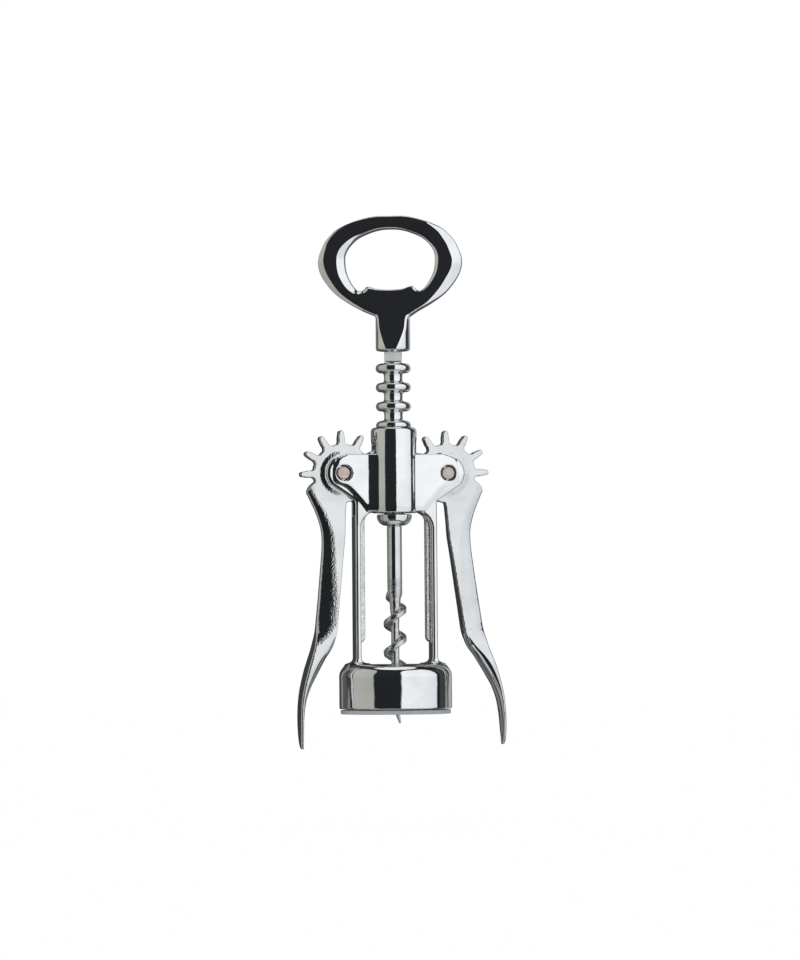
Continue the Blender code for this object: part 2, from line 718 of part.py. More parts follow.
def build_handle(parts, tools, material):
    """The oval ring with the lifter's lip, the neck and the round collar."""
    half_width = HANDLE_WIDTH / 2
    right, left = side_outlines(RING_OUTLINE_SHARES, half_width, RING_BOTTOM, HANDLE_RING_HEIGHT)
    tongue = COLLAR_RADIUS * TONGUE_WIDTH_SHARE
    neck_side = [
        (COLLAR_RADIUS, RING_BOTTOM),
        (tongue, RING_BOTTOM - TONGUE_LENGTH / 2),
        (tongue, RING_BOTTOM - TONGUE_LENGTH),
    ]
    outline = [*right, *neck_side, *mirrored(neck_side), *left[:-1]]
    hole_bottom = HANDLE_TOP - HANDLE_BAND_TOP - HOLE_HEIGHT
    right, left = side_outlines(HOLE_OUTLINE_SHARES, HOLE_WIDTH / 2, hole_bottom, HOLE_HEIGHT)
    handle = prism("handle", outline, HANDLE_THICKNESS / 2, tools, holes=(right + left[1:-1],))
    bevel(handle, HANDLE_EDGE_RADIUS, angle=math.radians(60))

    neck_top = RING_BOTTOM + TONGUE_LENGTH / 2
    profile = [(0, neck_top), (COLLAR_RADIUS, neck_top)]
    corner = (COLLAR_RADIUS - COLLAR_EDGE, COLLAR_BOTTOM + COLLAR_EDGE)
    profile += arc(corner, COLLAR_EDGE, 0, -math.pi / 2, 3)
    neck = turned("neck", profile + [(0, COLLAR_BOTTOM)], tools)

    taper_foot = COLLAR_BOTTOM + NECK_ROUND_HEIGHT
    taper_top = RING_BOTTOM + NECK_TAPER_RISE
    steepness = (taper_top - taper_foot) / (COLLAR_RADIUS - HANDLE_THICKNESS / 2)
    wide = COLLAR_RADIUS + OVERRUN
    slim = HANDLE_THICKNESS / 2 - FIT
    side = [
        (wide, taper_foot - OVERRUN * steepness),
        (slim, taper_top + FIT * steepness),
        (slim, neck_top + OVERRUN),
    ]
    flats = prism("neck_flats", side + mirrored(side), wide, tools, across=True)
    combine(neck, "INTERSECT", flats)
    neck = evaluated_copy(neck, "neck_cut", tools, weld=False)
    combine(handle, "UNION", neck)

    hole_top = COLLAR_BOTTOM + STEM_LENGTH_IN_HANDLE + FIT
    length = hole_top - COLLAR_BOTTOM + OVERRUN
    middle = Vector((0, 0, hole_top - length / 2))
    stem_hole = cylinder(
        "stem_hole", STEM_HOLE_RADIUS, length, middle, (0, 0, 1), tools, SMALL_ROUND_STEPS
    )
    combine(handle, "DIFFERENCE", stem_hole)
    return finish(handle, parts, material, turn=HANDLE_ANGLE)


# Levers

# Stations down the arm: share of the drop to the knee, outer edge as a share of the reach, width
# as a share of the arm's width.
ARM_SHARES = (
    (0.113, 0.62, 1.90),
    (0.145, 0.594, 1.83),
    (0.18, 0.557, 1.71),
    (0.223, 0.508, 1.52),
    (0.285, 0.456, 1.32),
    (0.34, 0.423, 1.19),
    (0.40, 0.413, 1.12),
    (0.48, 0.428, 1.06),
    (0.57, 0.46, 1.04),
    (0.72, 0.518, 1.03),
    (0.86, 0.574, 1.02),
    (1.0, 0.63, 1.03),
)
# Stations down the thumb pad: share of the way from the knee to the tip, outer edge as a share of
# the reach, depth above the tip's as a share of the arm's, flat side as a share of the depth, width.
PAD_SHARES = (
    (0.0, 0.63, 1.03, 0.94, 0.0),
    (0.06, 0.656, 1.05, 0.78, 0.06),
    (0.13, 0.693, 0.98, 0.62, 0.36),
    (0.21, 0.75, 0.79, 0.44, 0.78),
    (0.29, 0.808, 0.66, 0.28, 1.0),
    (0.38, 0.864, 0.49, 0.22, 0.93),
    (0.48, 0.918, 0.30, 0.25, 0.75),
    (0.60, 0.962, 0.15, 0.35, 0.52),
    (0.74, 0.987, 0.07, 0.45, 0.22),
    (0.86, 0.996, 0.04, 0.5, -0.12),
    (0.94, 0.997, 0.02, 0.5, -0.42),
    (0.985, 0.99, 0.0, 0.5, -0.72),
    (1.0, 0.98, 0.0, 0.5, -1.0),
)
ARM_START_SHARE = 0.113
ARM_THICKENING_START_SHARE = 0.2
ARM_START_THICKNESS_SHARE = 0.98
ARM_STATIONS = 10
ARM_FLAT_SHARE = 0.94
ARM_EDGE_SHARE = 0.45


def lever_sections():
    """Sections of the arm and pad: drop, outer edge, depth, flat depth and half width."""
    sections = []
    thin = LEVER_THICKNESS * ARM_START_THICKNESS_SHARE
    for step in range(ARM_STATIONS):
        share = ARM_START_SHARE + (1 - ARM_START_SHARE) * step / ARM_STATIONS
        outer, width = value_at(ARM_SHARES, share)
        growth = max(share - ARM_THICKENING_START_SHARE, 0.0) / (1 - ARM_THICKENING_START_SHARE)
        half = (thin + (KNEE_THICKNESS - thin) * growth) / 2
        depth = width * ARM_WIDTH
        sections.append((share * KNEE_DROP, outer * LEVER_REACH, depth, depth * ARM_FLAT_SHARE, half))
    for share, outer, deep, flat, wide in PAD_SHARES:
        drop = KNEE_DROP + (LEVER_DROP - KNEE_DROP) * share
        depth = PAD_TIP_THICKNESS + (ARM_WIDTH - PAD_TIP_THICKNESS) * deep
        if wide >= 0:
            width = KNEE_THICKNESS + (PAD_WIDTH - KNEE_THICKNESS) * wide
        else:
            width = KNEE_THICKNESS + (KNEE_THICKNESS - PAD_END_WIDTH) * wide
        sections.append((drop, outer * LEVER_REACH, depth, depth * flat, width / 2))
    return sections


def section_points(drop, outer, depth, flat, half):
    """Corners of one section, round on its outer side and bulging by an ellipse inward."""
    edge = min(ARM_EDGE_RADIUS, flat * ARM_EDGE_SHARE, half * ARM_EDGE_SHARE)
    soft = edge * (1 - math.sqrt(0.5))
    points = [
        (outer - edge, -half),
        (outer - soft, -half + soft),
        (outer, -half + edge),
        (outer, half - edge),
        (outer - soft, half - soft),
        (outer - edge, half),
    ]
    for step in range(7):
        angle = math.pi * step / 6
        points.append((outer - flat - (depth - flat) * math.sin(angle), half * math.cos(angle)))
    return [(x, y, -drop) for x, y in points]


def lever_loft(name, collection):
    """The arm and pad of the right lever, a loft between unlike sections, pivot at the origin.

    They lean inward of the teeth by the play, so that both levers can rest a little to one side.
    """
    rings = [section_points(*section) for section in lever_sections()]
    width = len(rings[0])
    points = [point for ring in rings for point in ring]
    faces = []
    for ring in range(len(rings) - 1):
        for corner in range(width):
            after = (corner + 1) % width
            low = ring * width
            high = low + width
            faces.append((low + corner, low + after, high + after, high + corner))
    faces.append(tuple(reversed(range(width))))
    faces.append(tuple((len(rings) - 1) * width + corner for corner in range(width)))
    loft = closed_mesh(name, points, faces, collection)
    loft.data.transform(Matrix.Rotation(LEVER_PLAY_ANGLE, 4, "Y"))
    return loft


# Along a tooth's height, where its straight flank starts, and how its root rounds into the gullet.
FLANK_START_SHARE = 0.42
ROOT_ENTRY_SHARE = 0.6
GULLET_ENTRY_SHARE = 0.35


def tooth_points(angle):
    """One tooth of the right lever and the round gullet after it, going clockwise."""
    half_tip = TOOTH_TIP_WIDTH / 2
    half_root = TOOTH_ROOT_WIDTH / 2
    tip_centre = TOOTH_TIP_RADIUS - half_tip
    tooth = TOOTH_TIP_RADIUS - TOOTH_ROOT_RADIUS
    flank = TOOTH_ROOT_RADIUS + tooth * FLANK_START_SHARE
    local = [(flank, half_root)]
    local += arc((tip_centre, 0), half_tip, math.pi / 2, -math.pi / 2, 4)
    local += [(flank, -half_root)]
    across = Matrix.Rotation(angle, 2)
    points = [tuple(across @ Vector(point)) for point in local]
    middle = angle - TOOTH_SPACING / 2
    gullet = Vector((TOOTH_ROOT_RADIUS * math.cos(middle), TOOTH_ROOT_RADIUS * math.sin(middle)))
    here = Vector(points[-1])
    root = across @ Vector((TOOTH_ROOT_RADIUS, -half_root))
    mirror_axis = Vector((math.cos(middle), math.sin(middle)))
    entry = [here.lerp(root, ROOT_ENTRY_SHARE), root.lerp(gullet, GULLET_ENTRY_SHARE)]
    exit_side = [2 * mirror_axis * mirror_axis.dot(point) - point for point in reversed(entry)]
    return points + [tuple(point) for point in (*entry, gullet, *exit_side)]


# The hook below the last tooth: angle as a share of the tooth spacing past the last gullet, and
# height above the root circle as a share of the hook's length.
HOOK_SHARES = (
    (0.12, 0.45),
    (0.28, 0.86),
    (0.40, 1.0),
    (0.56, 0.98),
    (0.74, 0.72),
    (0.95, 0.24),
    (1.1, 0.0),
)


def gear_outline():
    """Teeth, hook and hub of the right lever, clockwise, pivot at the origin."""
    outline = []
    for index in range(TOOTH_COUNT):
        outline += tooth_points(math.pi - TOOTH_SPACING * index)
    end = math.pi - TOOTH_SPACING * (TOOTH_COUNT - 0.5)
    outline = outline[:-1]
    for angle_share, rise_share in HOOK_SHARES:
        angle = end - TOOTH_SPACING * angle_share
        radius = TOOTH_ROOT_RADIUS + HOOK_LENGTH * rise_share
        outline.append((radius * math.cos(angle), radius * math.sin(angle)))
    start = end - TOOTH_SPACING * math.ceil(HOOK_SHARES[-1][0])
    outline += arc((0, 0), TOOTH_ROOT_RADIUS, start, TOOTH_SPACING / 2 - math.pi, 8)
    return outline


def build_lever(parts, tools, material, side, word):
    """One lever: toothed hub, arm and pad, with its pivot hole. The left one is mirrored.

    At rest both are turned the same way by the play between the teeth and the rack.
    """
    lever = prism(f"lever_{word}", gear_outline(), LEVER_THICKNESS / 2, tools)
    combine(lever, "UNION", lever_loft(f"arm_{word}", tools))
    length = KNEE_THICKNESS + OVERRUN
    bore = cylinder(
        f"lever_bore_{word}", PIN_HOLE_RADIUS, length, Vector(), (0, 1, 0), tools, SMALL_ROUND_STEPS
    )
    combine(lever, "DIFFERENCE", bore)
    done = finish(lever, parts, material)
    if side < 0:
        done.data.transform(Matrix.Diagonal((-1, 1, 1, 1)))
        done.data.flip_normals()
    done.location = (side * PIVOT_REACH, 0, PIVOT_HEIGHT)
    done.rotation_euler = (0, -LEVER_PLAY_ANGLE, 0)
    return done


def build_pin(parts, tools, material, side, word):
    """A riveted pivot pin, its ends level with the cheeks."""
    half = CHEEK_HALF
    profile = [
        (0, half),
        (PIN_RADIUS - PIN_EDGE, half),
        (PIN_RADIUS, half - PIN_EDGE),
        (PIN_RADIUS, -half + PIN_EDGE),
        (PIN_RADIUS - PIN_EDGE, -half),
        (0, -half),
    ]
    pin = turned(f"pivot_pin_{word}", profile, tools, SMALL_ROUND_STEPS)
    done = finish(pin, parts, material)
    done.data.transform(Matrix.Rotation(math.pi / 2, 4, "X"))
    done.location = (side * PIVOT_REACH, 0, PIVOT_HEIGHT)
    return done


def main():
    """Clear the scene and build the corkscrew."""
    for obj in list(bpy.data.objects):
        bpy.data.objects.remove(obj)
    parts = make_collection("wing_corkscrew")
    tools = make_collection("tools")

    chrome = make_material("chrome_casting", (0.80, 0.80, 0.82), 0.06, 1.0)
    polished = make_material("chrome_handle", (0.78, 0.78, 0.80), 0.05, 1.0)
    turned_chrome = make_material("chrome_rack", (0.79, 0.79, 0.81), 0.08, 1.0)
    lever_chrome = make_material("chrome_lever", (0.80, 0.81, 0.83), 0.07, 1.0)
    plated_steel = make_material("plated_worm", (0.72, 0.72, 0.74), 0.15, 1.0)
    rivet_steel = make_material("bare_rivet", (0.62, 0.55, 0.52), 0.35, 1.0)
    pale_plastic = make_material("pale_plastic", (0.70, 0.71, 0.73), 0.4, 0.0)
    nylon = make_material("nylon", (0.80, 0.82, 0.82), 0.35, 0.0)

    build_frame(parts, tools, chrome)
    build_insert(parts, tools, pale_plastic)
    build_sleeve(parts, tools, turned_chrome)
    build_bush(parts, tools, nylon)
    build_worm(parts, tools, plated_steel)
    build_handle(parts, tools, polished)
    for side, word in ((-1, "left"), (1, "right")):
        build_lever(parts, tools, lever_chrome, side, word)
        build_pin(parts, tools, rivet_steel, side, word)


main()
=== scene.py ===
"""Looks of a chromed wing corkscrew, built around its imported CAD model.

Every piece is worked out in millimetres, in the frame of the CAD model: the worm's axis is Z, Z = 0
is the face that seats on the bottle's lip, and the front faces -Y. Meshes are stored in metres.
"""

from __future__ import annotations

import logging
import math
from collections.abc import Callable, Sequence
from dataclasses import dataclass
from enum import Enum

import bpy
import numpy as np
from mathutils import Matrix, Vector


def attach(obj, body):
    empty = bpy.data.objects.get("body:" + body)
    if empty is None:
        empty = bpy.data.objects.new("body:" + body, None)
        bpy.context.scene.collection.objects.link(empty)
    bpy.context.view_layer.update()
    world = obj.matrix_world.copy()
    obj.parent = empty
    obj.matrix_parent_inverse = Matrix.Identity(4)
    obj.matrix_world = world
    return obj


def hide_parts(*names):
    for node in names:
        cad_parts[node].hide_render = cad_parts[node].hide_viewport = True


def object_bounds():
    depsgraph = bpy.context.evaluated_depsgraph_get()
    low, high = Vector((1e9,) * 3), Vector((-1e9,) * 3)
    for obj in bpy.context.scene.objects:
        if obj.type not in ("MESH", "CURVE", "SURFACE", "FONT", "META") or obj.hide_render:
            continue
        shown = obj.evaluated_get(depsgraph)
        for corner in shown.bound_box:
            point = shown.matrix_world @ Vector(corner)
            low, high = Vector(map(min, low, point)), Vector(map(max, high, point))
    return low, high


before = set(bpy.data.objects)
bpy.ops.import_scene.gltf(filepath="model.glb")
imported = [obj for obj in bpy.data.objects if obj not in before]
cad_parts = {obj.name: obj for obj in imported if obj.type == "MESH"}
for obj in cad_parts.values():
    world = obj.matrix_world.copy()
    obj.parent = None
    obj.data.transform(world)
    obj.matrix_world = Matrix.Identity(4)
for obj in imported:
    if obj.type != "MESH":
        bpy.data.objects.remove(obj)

Array = np.ndarray
Corner = Sequence[float]
Field = Callable[[Array, Array, Array], Array]

MM = 0.001
LOG = logging.getLogger("corkscrew")
CAD_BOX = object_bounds()


class Side(Enum):
    """The two sides of the tool, seen from its front."""

    LEFT = -1
    RIGHT = 1

    @property
    def word(self) -> str:
        """The side's word in node names."""
        return self.name.lower()


# Shader graphs


class Socket:
    """An output of a shader node that takes part in sums and products."""

    def __init__(self, graph: Graph, output: bpy.types.NodeSocket) -> None:
        """Wrap an output.

        Args:
            graph: The graph that new nodes go into.
            output: The node's output socket.
        """
        self.graph = graph
        self.output = output

    def math(self, operation: str, *others: Socket | float, swap: bool = False) -> Socket:
        """Add a Math node.

        Args:
            operation: The Math node's operation.
            others: The other operands.
            swap: Whether this socket is the second operand.

        Returns:
            The result.
        """
        operands = [self, *others]
        if swap:
            operands.reverse()
        return self.graph.node("ShaderNodeMath", {"operation": operation}, dict(enumerate(operands)))

    def __add__(self, other: Socket | float) -> Socket:
        """Sum."""
        return self.math("ADD", other)

    __radd__ = __add__

    def __sub__(self, other: Socket | float) -> Socket:
        """Difference."""
        return self.math("SUBTRACT", other)

    def __rsub__(self, other: float) -> Socket:
        """Difference, the other way round."""
        return self.math("SUBTRACT", other, swap=True)

    def __mul__(self, other: Socket | float) -> Socket:
        """Product."""
        return self.math("MULTIPLY", other)

    __rmul__ = __mul__

    def __truediv__(self, other: Socket | float) -> Socket:
        """Quotient."""
        return self.math("DIVIDE", other)

    def step(self, low: float, high: float) -> Socket:
        """Rise smoothly from 0 at low to 1 at high, or fall where low is the larger."""
        if low > high:
            return 1 - self.step(high, low)
        values = {"Value": self, "From Min": low, "From Max": high}
        return self.graph.node("ShaderNodeMapRange", {"interpolation_type": "SMOOTHSTEP"}, values)

    def band(self, low: float, high: float, soft: float) -> Socket:
        """1 between low and high, with edges of the given softness."""
        return self.step(low - soft, low + soft) * self.step(high + soft, high - soft)


class Graph:
    """A node tree that is being filled."""

    def __init__(self, tree: bpy.types.NodeTree) -> None:
        """Start from an empty tree.

        Args:
            tree: The node tree, which is cleared.
        """
        self.tree = tree
        tree.nodes.clear()

    def node(
        self,
        kind: str,
        settings: dict | None = None,
        inputs: dict | None = None,
        output: int | str = 0,
    ) -> Socket | None:
        """Add a node.

        Args:
            kind: The node's type.
            settings: Its settings, set first. "stops" holds a ramp's (position, colour) pairs.
            inputs: Values or sockets of its inputs, by name or number.
            output: The output that is wanted.

        Returns:
            That output, or None for a node without outputs.
        """
        node = self.tree.nodes.new(kind)
        for name, value in (settings or {}).items():
            if name == "stops":
                self._set_stops(node.color_ramp, value)
            else:
                setattr(node, name, value)
        for name, value in (inputs or {}).items():
            if isinstance(value, Socket):
                self.tree.links.new(value.output, node.inputs[name])
            else:
                node.inputs[name].default_value = value
        return Socket(self, node.outputs[output]) if node.outputs else None

    @staticmethod
    def _set_stops(ramp: bpy.types.ColorRamp, stops: Sequence[tuple[float, tuple]]) -> None:
        """Give a ramp its stops.

        Args:
            ramp: The ramp.
            stops: Pairs of position, rising from 0 to 1, and colour.
        """
        while len(ramp.elements) < len(stops):
            ramp.elements.new(1.0)
        for element, (position, colour) in zip(ramp.elements, stops):
            element.position = position
            element.color = (*colour, 1.0)

    def mix(self, factor: Socket | float, first: Socket | tuple, second: Socket | tuple) -> Socket:
        """Mix two colours.

        Args:
            factor: Share of the second colour.
            first: A colour.
            second: A colour.

        Returns:
            The mixed colour.
        """
        colours = [c if isinstance(c, Socket) else (*c, 1.0) for c in (first, second)]
        values = {0: factor, 6: colours[0], 7: colours[1]}
        return self.node("ShaderNodeMix", {"data_type": "RGBA"}, values, 2)

    def noise(self, size: float, detail: float = 2.0, roughness: float = 0.5) -> Socket:
        """Noise on Object coordinates.

        Args:
            size: Size of its blotches in millimetres.
            detail: Number of finer layers.
            roughness: Strength of the finer layers.

        Returns:
            The noise, around 0.5.
        """
        place = self.node("ShaderNodeTexCoord", output="Object")
        values = {"Vector": place, "Scale": 1 / (size * MM), "Detail": detail, "Roughness": roughness}
        return self.node("ShaderNodeTexNoise", {}, values)

    def place(self) -> list[Socket]:
        """Object coordinates x, y and z in millimetres."""
        spot = self.node("ShaderNodeTexCoord", output="Object")
        parts = self.node("ShaderNodeSeparateXYZ", {}, {0: spot})
        outputs = parts.output.node.outputs
        return [Socket(self, output) * (1 / MM) for output in outputs]

    def bump(self, height: Socket, distance: float, below: Socket | None = None) -> Socket:
        """Turn a height into a normal.

        Args:
            height: The height.
            distance: Height in millimetres where it is 1.
            below: The normal that it is added to.

        Returns:
            The normal.
        """
        values = {"Height": height, "Strength": 1.0, "Distance": distance * MM}
        if below:
            values["Normal"] = below
        return self.node("ShaderNodeBump", {}, values)


def new_material(name: str) -> tuple[bpy.types.Material, Graph]:
    """A material and its graph, which is still empty."""
    material = bpy.data.materials.new(name)
    material.use_nodes = True
    return material, Graph(material.node_tree)


# Finishes


@dataclass(frozen=True)
class Finish:
    """A material that ends in one Principled shader."""

    name: str

    def inputs(self, graph: Graph) -> dict:
        """The shader's inputs, by name."""
        raise NotImplementedError

    def build(self) -> bpy.types.Material:
        """Make the material.

        Returns:
            The material.
        """
        material, graph = new_material(self.name)
        shader = graph.node("ShaderNodeBsdfPrincipled", {}, self.inputs(graph))
        graph.node("ShaderNodeOutputMaterial", {}, {"Surface": shader})
        return material


@dataclass(frozen=True)
class Chrome(Finish):
    """Bright plating over a casting: wavy, with orange peel, a few specks and rough as-cast zones.

    A rough zone is a box of |x|, |y| and z in millimetres.
    """

    colour: tuple[float, float, float] = (0.87, 0.88, 0.88)
    tint: tuple[float, float, float] = (0.78, 0.80, 0.80)
    roughness: float = 0.03
    haze: float = 0.05
    wave_size: float = 9.0
    wave_height: float = 0.10
    peel_size: float = 1.1
    peel_height: float = 0.006
    grain_size: float = 0.45
    grain_height: float = 0.004
    grain_mask: str = ""
    speck_share: float = 0.70
    rough_zone: tuple | None = None
    rough_height: float = 0.12

    def _zone(self, graph: Graph) -> Socket:
        """1 inside the rough zone, with a ragged edge."""
        x, y, z = graph.place()
        ragged = (graph.noise(1.2, 3.0, 0.7) - 0.5) * 1.5
        inside = (z + ragged).band(*self.rough_zone[2], 0.4)
        for value, limits in ((x, self.rough_zone[0]), (y, self.rough_zone[1])):
            inside = inside * (value.math("ABSOLUTE") + ragged * 0.3).band(*limits, 0.15)
        return inside

    def inputs(self, graph: Graph) -> dict:
        """The shader's inputs, by name."""
        cloud = graph.noise(self.wave_size, 2.0)
        grain = graph.noise(self.grain_size, 2.0, 0.6)
        speck = graph.noise(self.grain_size * 0.8, 3.0, 0.7)
        speck = speck.step(self.speck_share, self.speck_share + 0.06)
        colour = graph.mix(cloud.step(0.35, 0.7), self.colour, self.tint)
        colour = graph.mix(speck * 0.5, colour, (0.35, 0.35, 0.36))
        rough = self.roughness + self.haze * cloud.step(0.5, 0.8) + speck * self.haze
        normal = graph.bump(cloud, self.wave_height)
        normal = graph.bump(graph.noise(self.peel_size, 2.0, 0.6), self.peel_height, normal)
        if self.rough_zone:
            zone = self._zone(graph)
            grit = graph.noise(0.7, 4.0, 0.75)
            grain = grain * self.grain_height + zone * grit * self.rough_height
            normal = graph.bump(grain, 1.0, normal)
            rough = rough + zone * 0.12
            colour = graph.mix(zone * grit.step(0.4, 0.65) * 0.6, colour, (0.40, 0.41, 0.42))
        else:
            if self.grain_mask:
                settings = {"attribute_name": self.grain_mask}
                grain = (grain - 0.5) * graph.node("ShaderNodeAttribute", settings, output="Fac")
            normal = graph.bump(grain, self.grain_height, normal)
        return {"Base Color": colour, "Roughness": rough, "Metallic": 1.0, "Normal": normal}


@dataclass(frozen=True)
class Plastic(Finish):
    """Moulded plastic, satin, a little cloudy."""

    colour: tuple[float, float, float]
    shade: tuple[float, float, float]
    roughness: float = 0.38

    def inputs(self, graph: Graph) -> dict:
        """The shader's inputs, by name."""
        cloud = graph.noise(5.0, 3.0)
        grain = graph.noise(0.35, 2.0)
        colour = graph.mix(cloud.step(0.3, 0.7), self.colour, self.shade)
        return {
            "Base Color": colour,
            "Roughness": self.roughness + 0.12 * grain,
            "Normal": graph.bump(grain, 0.004),
        }


@dataclass(frozen=True)
class BareRivet(Finish):
    """The unplated end of a riveted pin: pinkish beige, with darker flecks."""

    colour: tuple[float, float, float] = (0.66, 0.57, 0.52)
    fleck: tuple[float, float, float] = (0.42, 0.33, 0.29)

    def inputs(self, graph: Graph) -> dict:
        """The shader's inputs, by name."""
        grain = graph.noise(0.35, 3.0, 0.7)
        cloud = graph.noise(1.4, 2.0)
        colour = graph.mix(grain.step(0.48, 0.62), self.colour, self.fleck)
        colour = graph.mix(cloud.step(0.4, 0.7) * 0.6, colour, (0.78, 0.72, 0.67))
        return {
            "Base Color": colour,
            "Metallic": 0.3,
            "Roughness": 0.42 + 0.25 * grain,
            "Normal": graph.bump(grain, 0.02),
        }


# Curves and outlines


def arc(centre: Sequence[float], radius: float, start: float, end: float, steps: int = 12) -> Array:
    """Points on an arc: centre plus radius times the cosine and sine of evenly spaced angles.

    Args:
        centre: Centre of the arc.
        radius: Its radius.
        start: First angle in degrees.
        end: Last angle in degrees.
        steps: Number of pieces.

    Returns:
        Points as rows.
    """
    angles = np.radians(np.linspace(start, end, steps + 1))
    return np.stack([centre[0] + radius * np.cos(angles), centre[1] + radius * np.sin(angles)], axis=1)


def smooth_curve(points: Array, steps: int, closed: bool = False) -> Array:
    """A smooth curve through points (Catmull-Rom: a cubic whose slope at a point is half the way
    from the point before it to the point after it).

    Args:
        points: Points as rows, of any width.
        steps: Number of pieces from one point to the next.
        closed: Whether the curve closes on itself.

    Returns:
        Points of the curve as rows.
    """
    points = np.asarray(points, dtype=float)
    if closed:
        padded = np.concatenate([points[-1:], points, points[:2]])
    else:
        padded = np.concatenate([points[:1], points, points[-1:]])
    a, b, c, d = padded[:-3], padded[1:-2], padded[2:-1], padded[3:]
    part = (np.arange(steps) / steps)[None, :, None]
    a, b, c, d = (rows[:, None, :] for rows in (a, b, c, d))
    bend = (2 * a - 5 * b + 4 * c - d) * part + (3 * b - a - 3 * c + d) * part**2
    curve = (b + ((c - a) + bend) * part / 2).reshape(-1, points.shape[1])
    return curve if closed else np.concatenate([curve, points[-1:]])


def eased(table: tuple, step: float = 3.0, reach: int = 4) -> tuple[Array, Array]:
    """Widths by angle, read at even steps and each averaged with its neighbours, all the way round.

    Args:
        table: Angles from -180 to 180 degrees, and the width at each.
        step: Degrees from one reading to the next.
        reach: Number of neighbours on each side.

    Returns:
        The angles and the averaged widths.
    """
    angles = np.arange(-180.0, 180.0 + step, step)
    widths = np.interp(angles, *table)
    around = np.concatenate([widths[-reach - 1 : -1], widths, widths[1 : reach + 1]])
    return angles, np.convolve(around, np.full(2 * reach + 1, 1 / (2 * reach + 1)), "valid")


class Outline:
    """A closed outline in a plane, read as a signed distance that is negative inside.

    The distance to the nearest edge is worked out once on a fine grid, and read between its points
    by weighting the four around a place by their nearness.
    """

    def __init__(self, points: Array, cell: float = 0.14, margin: float = 3.0) -> None:
        """Work out the grid.

        Args:
            points: Corners of the outline as rows.
            cell: Spacing of the grid.
            margin: Width of the grid around the outline.
        """
        self.cell = cell
        self.low = points.min(axis=0) - margin
        counts = np.ceil((points.max(axis=0) + margin - self.low) / cell).astype(int) + 1
        across, up = (low + cell * np.arange(count) for low, count in zip(self.low, counts))
        across, up = across[:, None], up[None, :]
        nearest = np.full(counts, np.inf)
        inside = np.zeros(counts, dtype=bool)
        for (x0, z0), (x1, z1) in zip(points, np.roll(points, -1, axis=0)):
            dx, dz = x1 - x0, z1 - z0
            length = max(dx * dx + dz * dz, 1e-12)
            part = np.clip(((across - x0) * dx + (up - z0) * dz) / length, 0.0, 1.0)
            nearest = np.minimum(nearest, (across - x0 - dx * part) ** 2 + (up - z0 - dz * part) ** 2)
            if dz:
                inside ^= ((up >= z0) != (up >= z1)) & (across < x0 + dx * (up - z0) / dz)
        self.values = np.sqrt(nearest) * np.where(inside, -1.0, 1.0)

    def distance(self, across: Array, up: Array) -> Array:
        """Signed distance at places of the plane.

        Args:
            across: First coordinates.
            up: Second coordinates.

        Returns:
            Distances.
        """
        u = (across - self.low[0]) / self.cell
        v = (up - self.low[1]) / self.cell
        inner_u = np.clip(u, 0, self.values.shape[0] - 1.001)
        inner_v = np.clip(v, 0, self.values.shape[1] - 1.001)
        i, j = inner_u.astype(int), inner_v.astype(int)
        s, t = inner_u - i, inner_v - j
        grid = self.values
        value = (grid[i, j] * (1 - t) + grid[i, j + 1] * t) * (1 - s)
        value = value + (grid[i + 1, j] * (1 - t) + grid[i + 1, j + 1] * t) * s
        return value + np.hypot(u - inner_u, v - inner_v) * self.cell


# Solids as signed distances


def join(first: Array, second: Array, fillet: float) -> Array:
    """Union of two solids: the smaller distance, less a parabola where both are close.

    Args:
        first: Distances to one solid.
        second: Distances to the other.
        fillet: Width of the zone that is filled.

    Returns:
        Distances to the union.
    """
    near = np.maximum(fillet - np.abs(first - second), 0.0) / fillet
    return np.minimum(first, second) - near * near * fillet / 4


def keep(first: Array, second: Array, edge: float) -> Array:
    """Intersection of two solids, its edge rounded in the same way as join fills a corner."""
    return -join(-first, -second, edge)


def cut(solid: Array, tool: Array, edge: float) -> Array:
    """A solid less a tool, its new edge rounded."""
    return keep(solid, -tool, edge)


def plate(outline: Array, through: Array, wide: float | Array, deep: float | Array) -> Array:
    """An outline given thickness, its edges rounded by a quarter of an ellipse.

    Where both distances are near zero they are measured in the ellipse's half axes from its centre.
    Their length q is 1 on the ellipse, and (q - 1) over q's slope is the distance to it.

    Args:
        outline: Distances to the outline in its plane.
        through: Distances from the plate's faces, negative between them.
        wide: Half axis of the rounding along the faces.
        deep: Half axis of the rounding through the plate.

    Returns:
        Distances to the plate.
    """
    u, v = np.maximum(outline / wide + 1, 0.0), np.maximum(through / deep + 1, 0.0)
    q = np.hypot(u, v)
    slope = np.hypot(u / wide, v / deep)
    corner = np.where(q > 0, (q - 1) * q / np.maximum(slope, 1e-9), -np.inf)
    return np.maximum(corner, np.maximum(outline, through))


def drum(reach: Array, z: Array, radius: float, low: float, high: float, top: float, foot: float) -> Array:
    """A drum around the Z axis with a rounded top and foot.

    Args:
        reach: Distances from the axis.
        z: Heights.
        radius: The drum's radius.
        low: Its lowest height.
        high: Its highest height.
        top: Radius of the top edge.
        foot: Radius of the foot's edge.

    Returns:
        Distances to the drum.
    """
    upper = plate(reach - radius, z - high, top, top)
    return plate(upper, low - z, foot, foot)


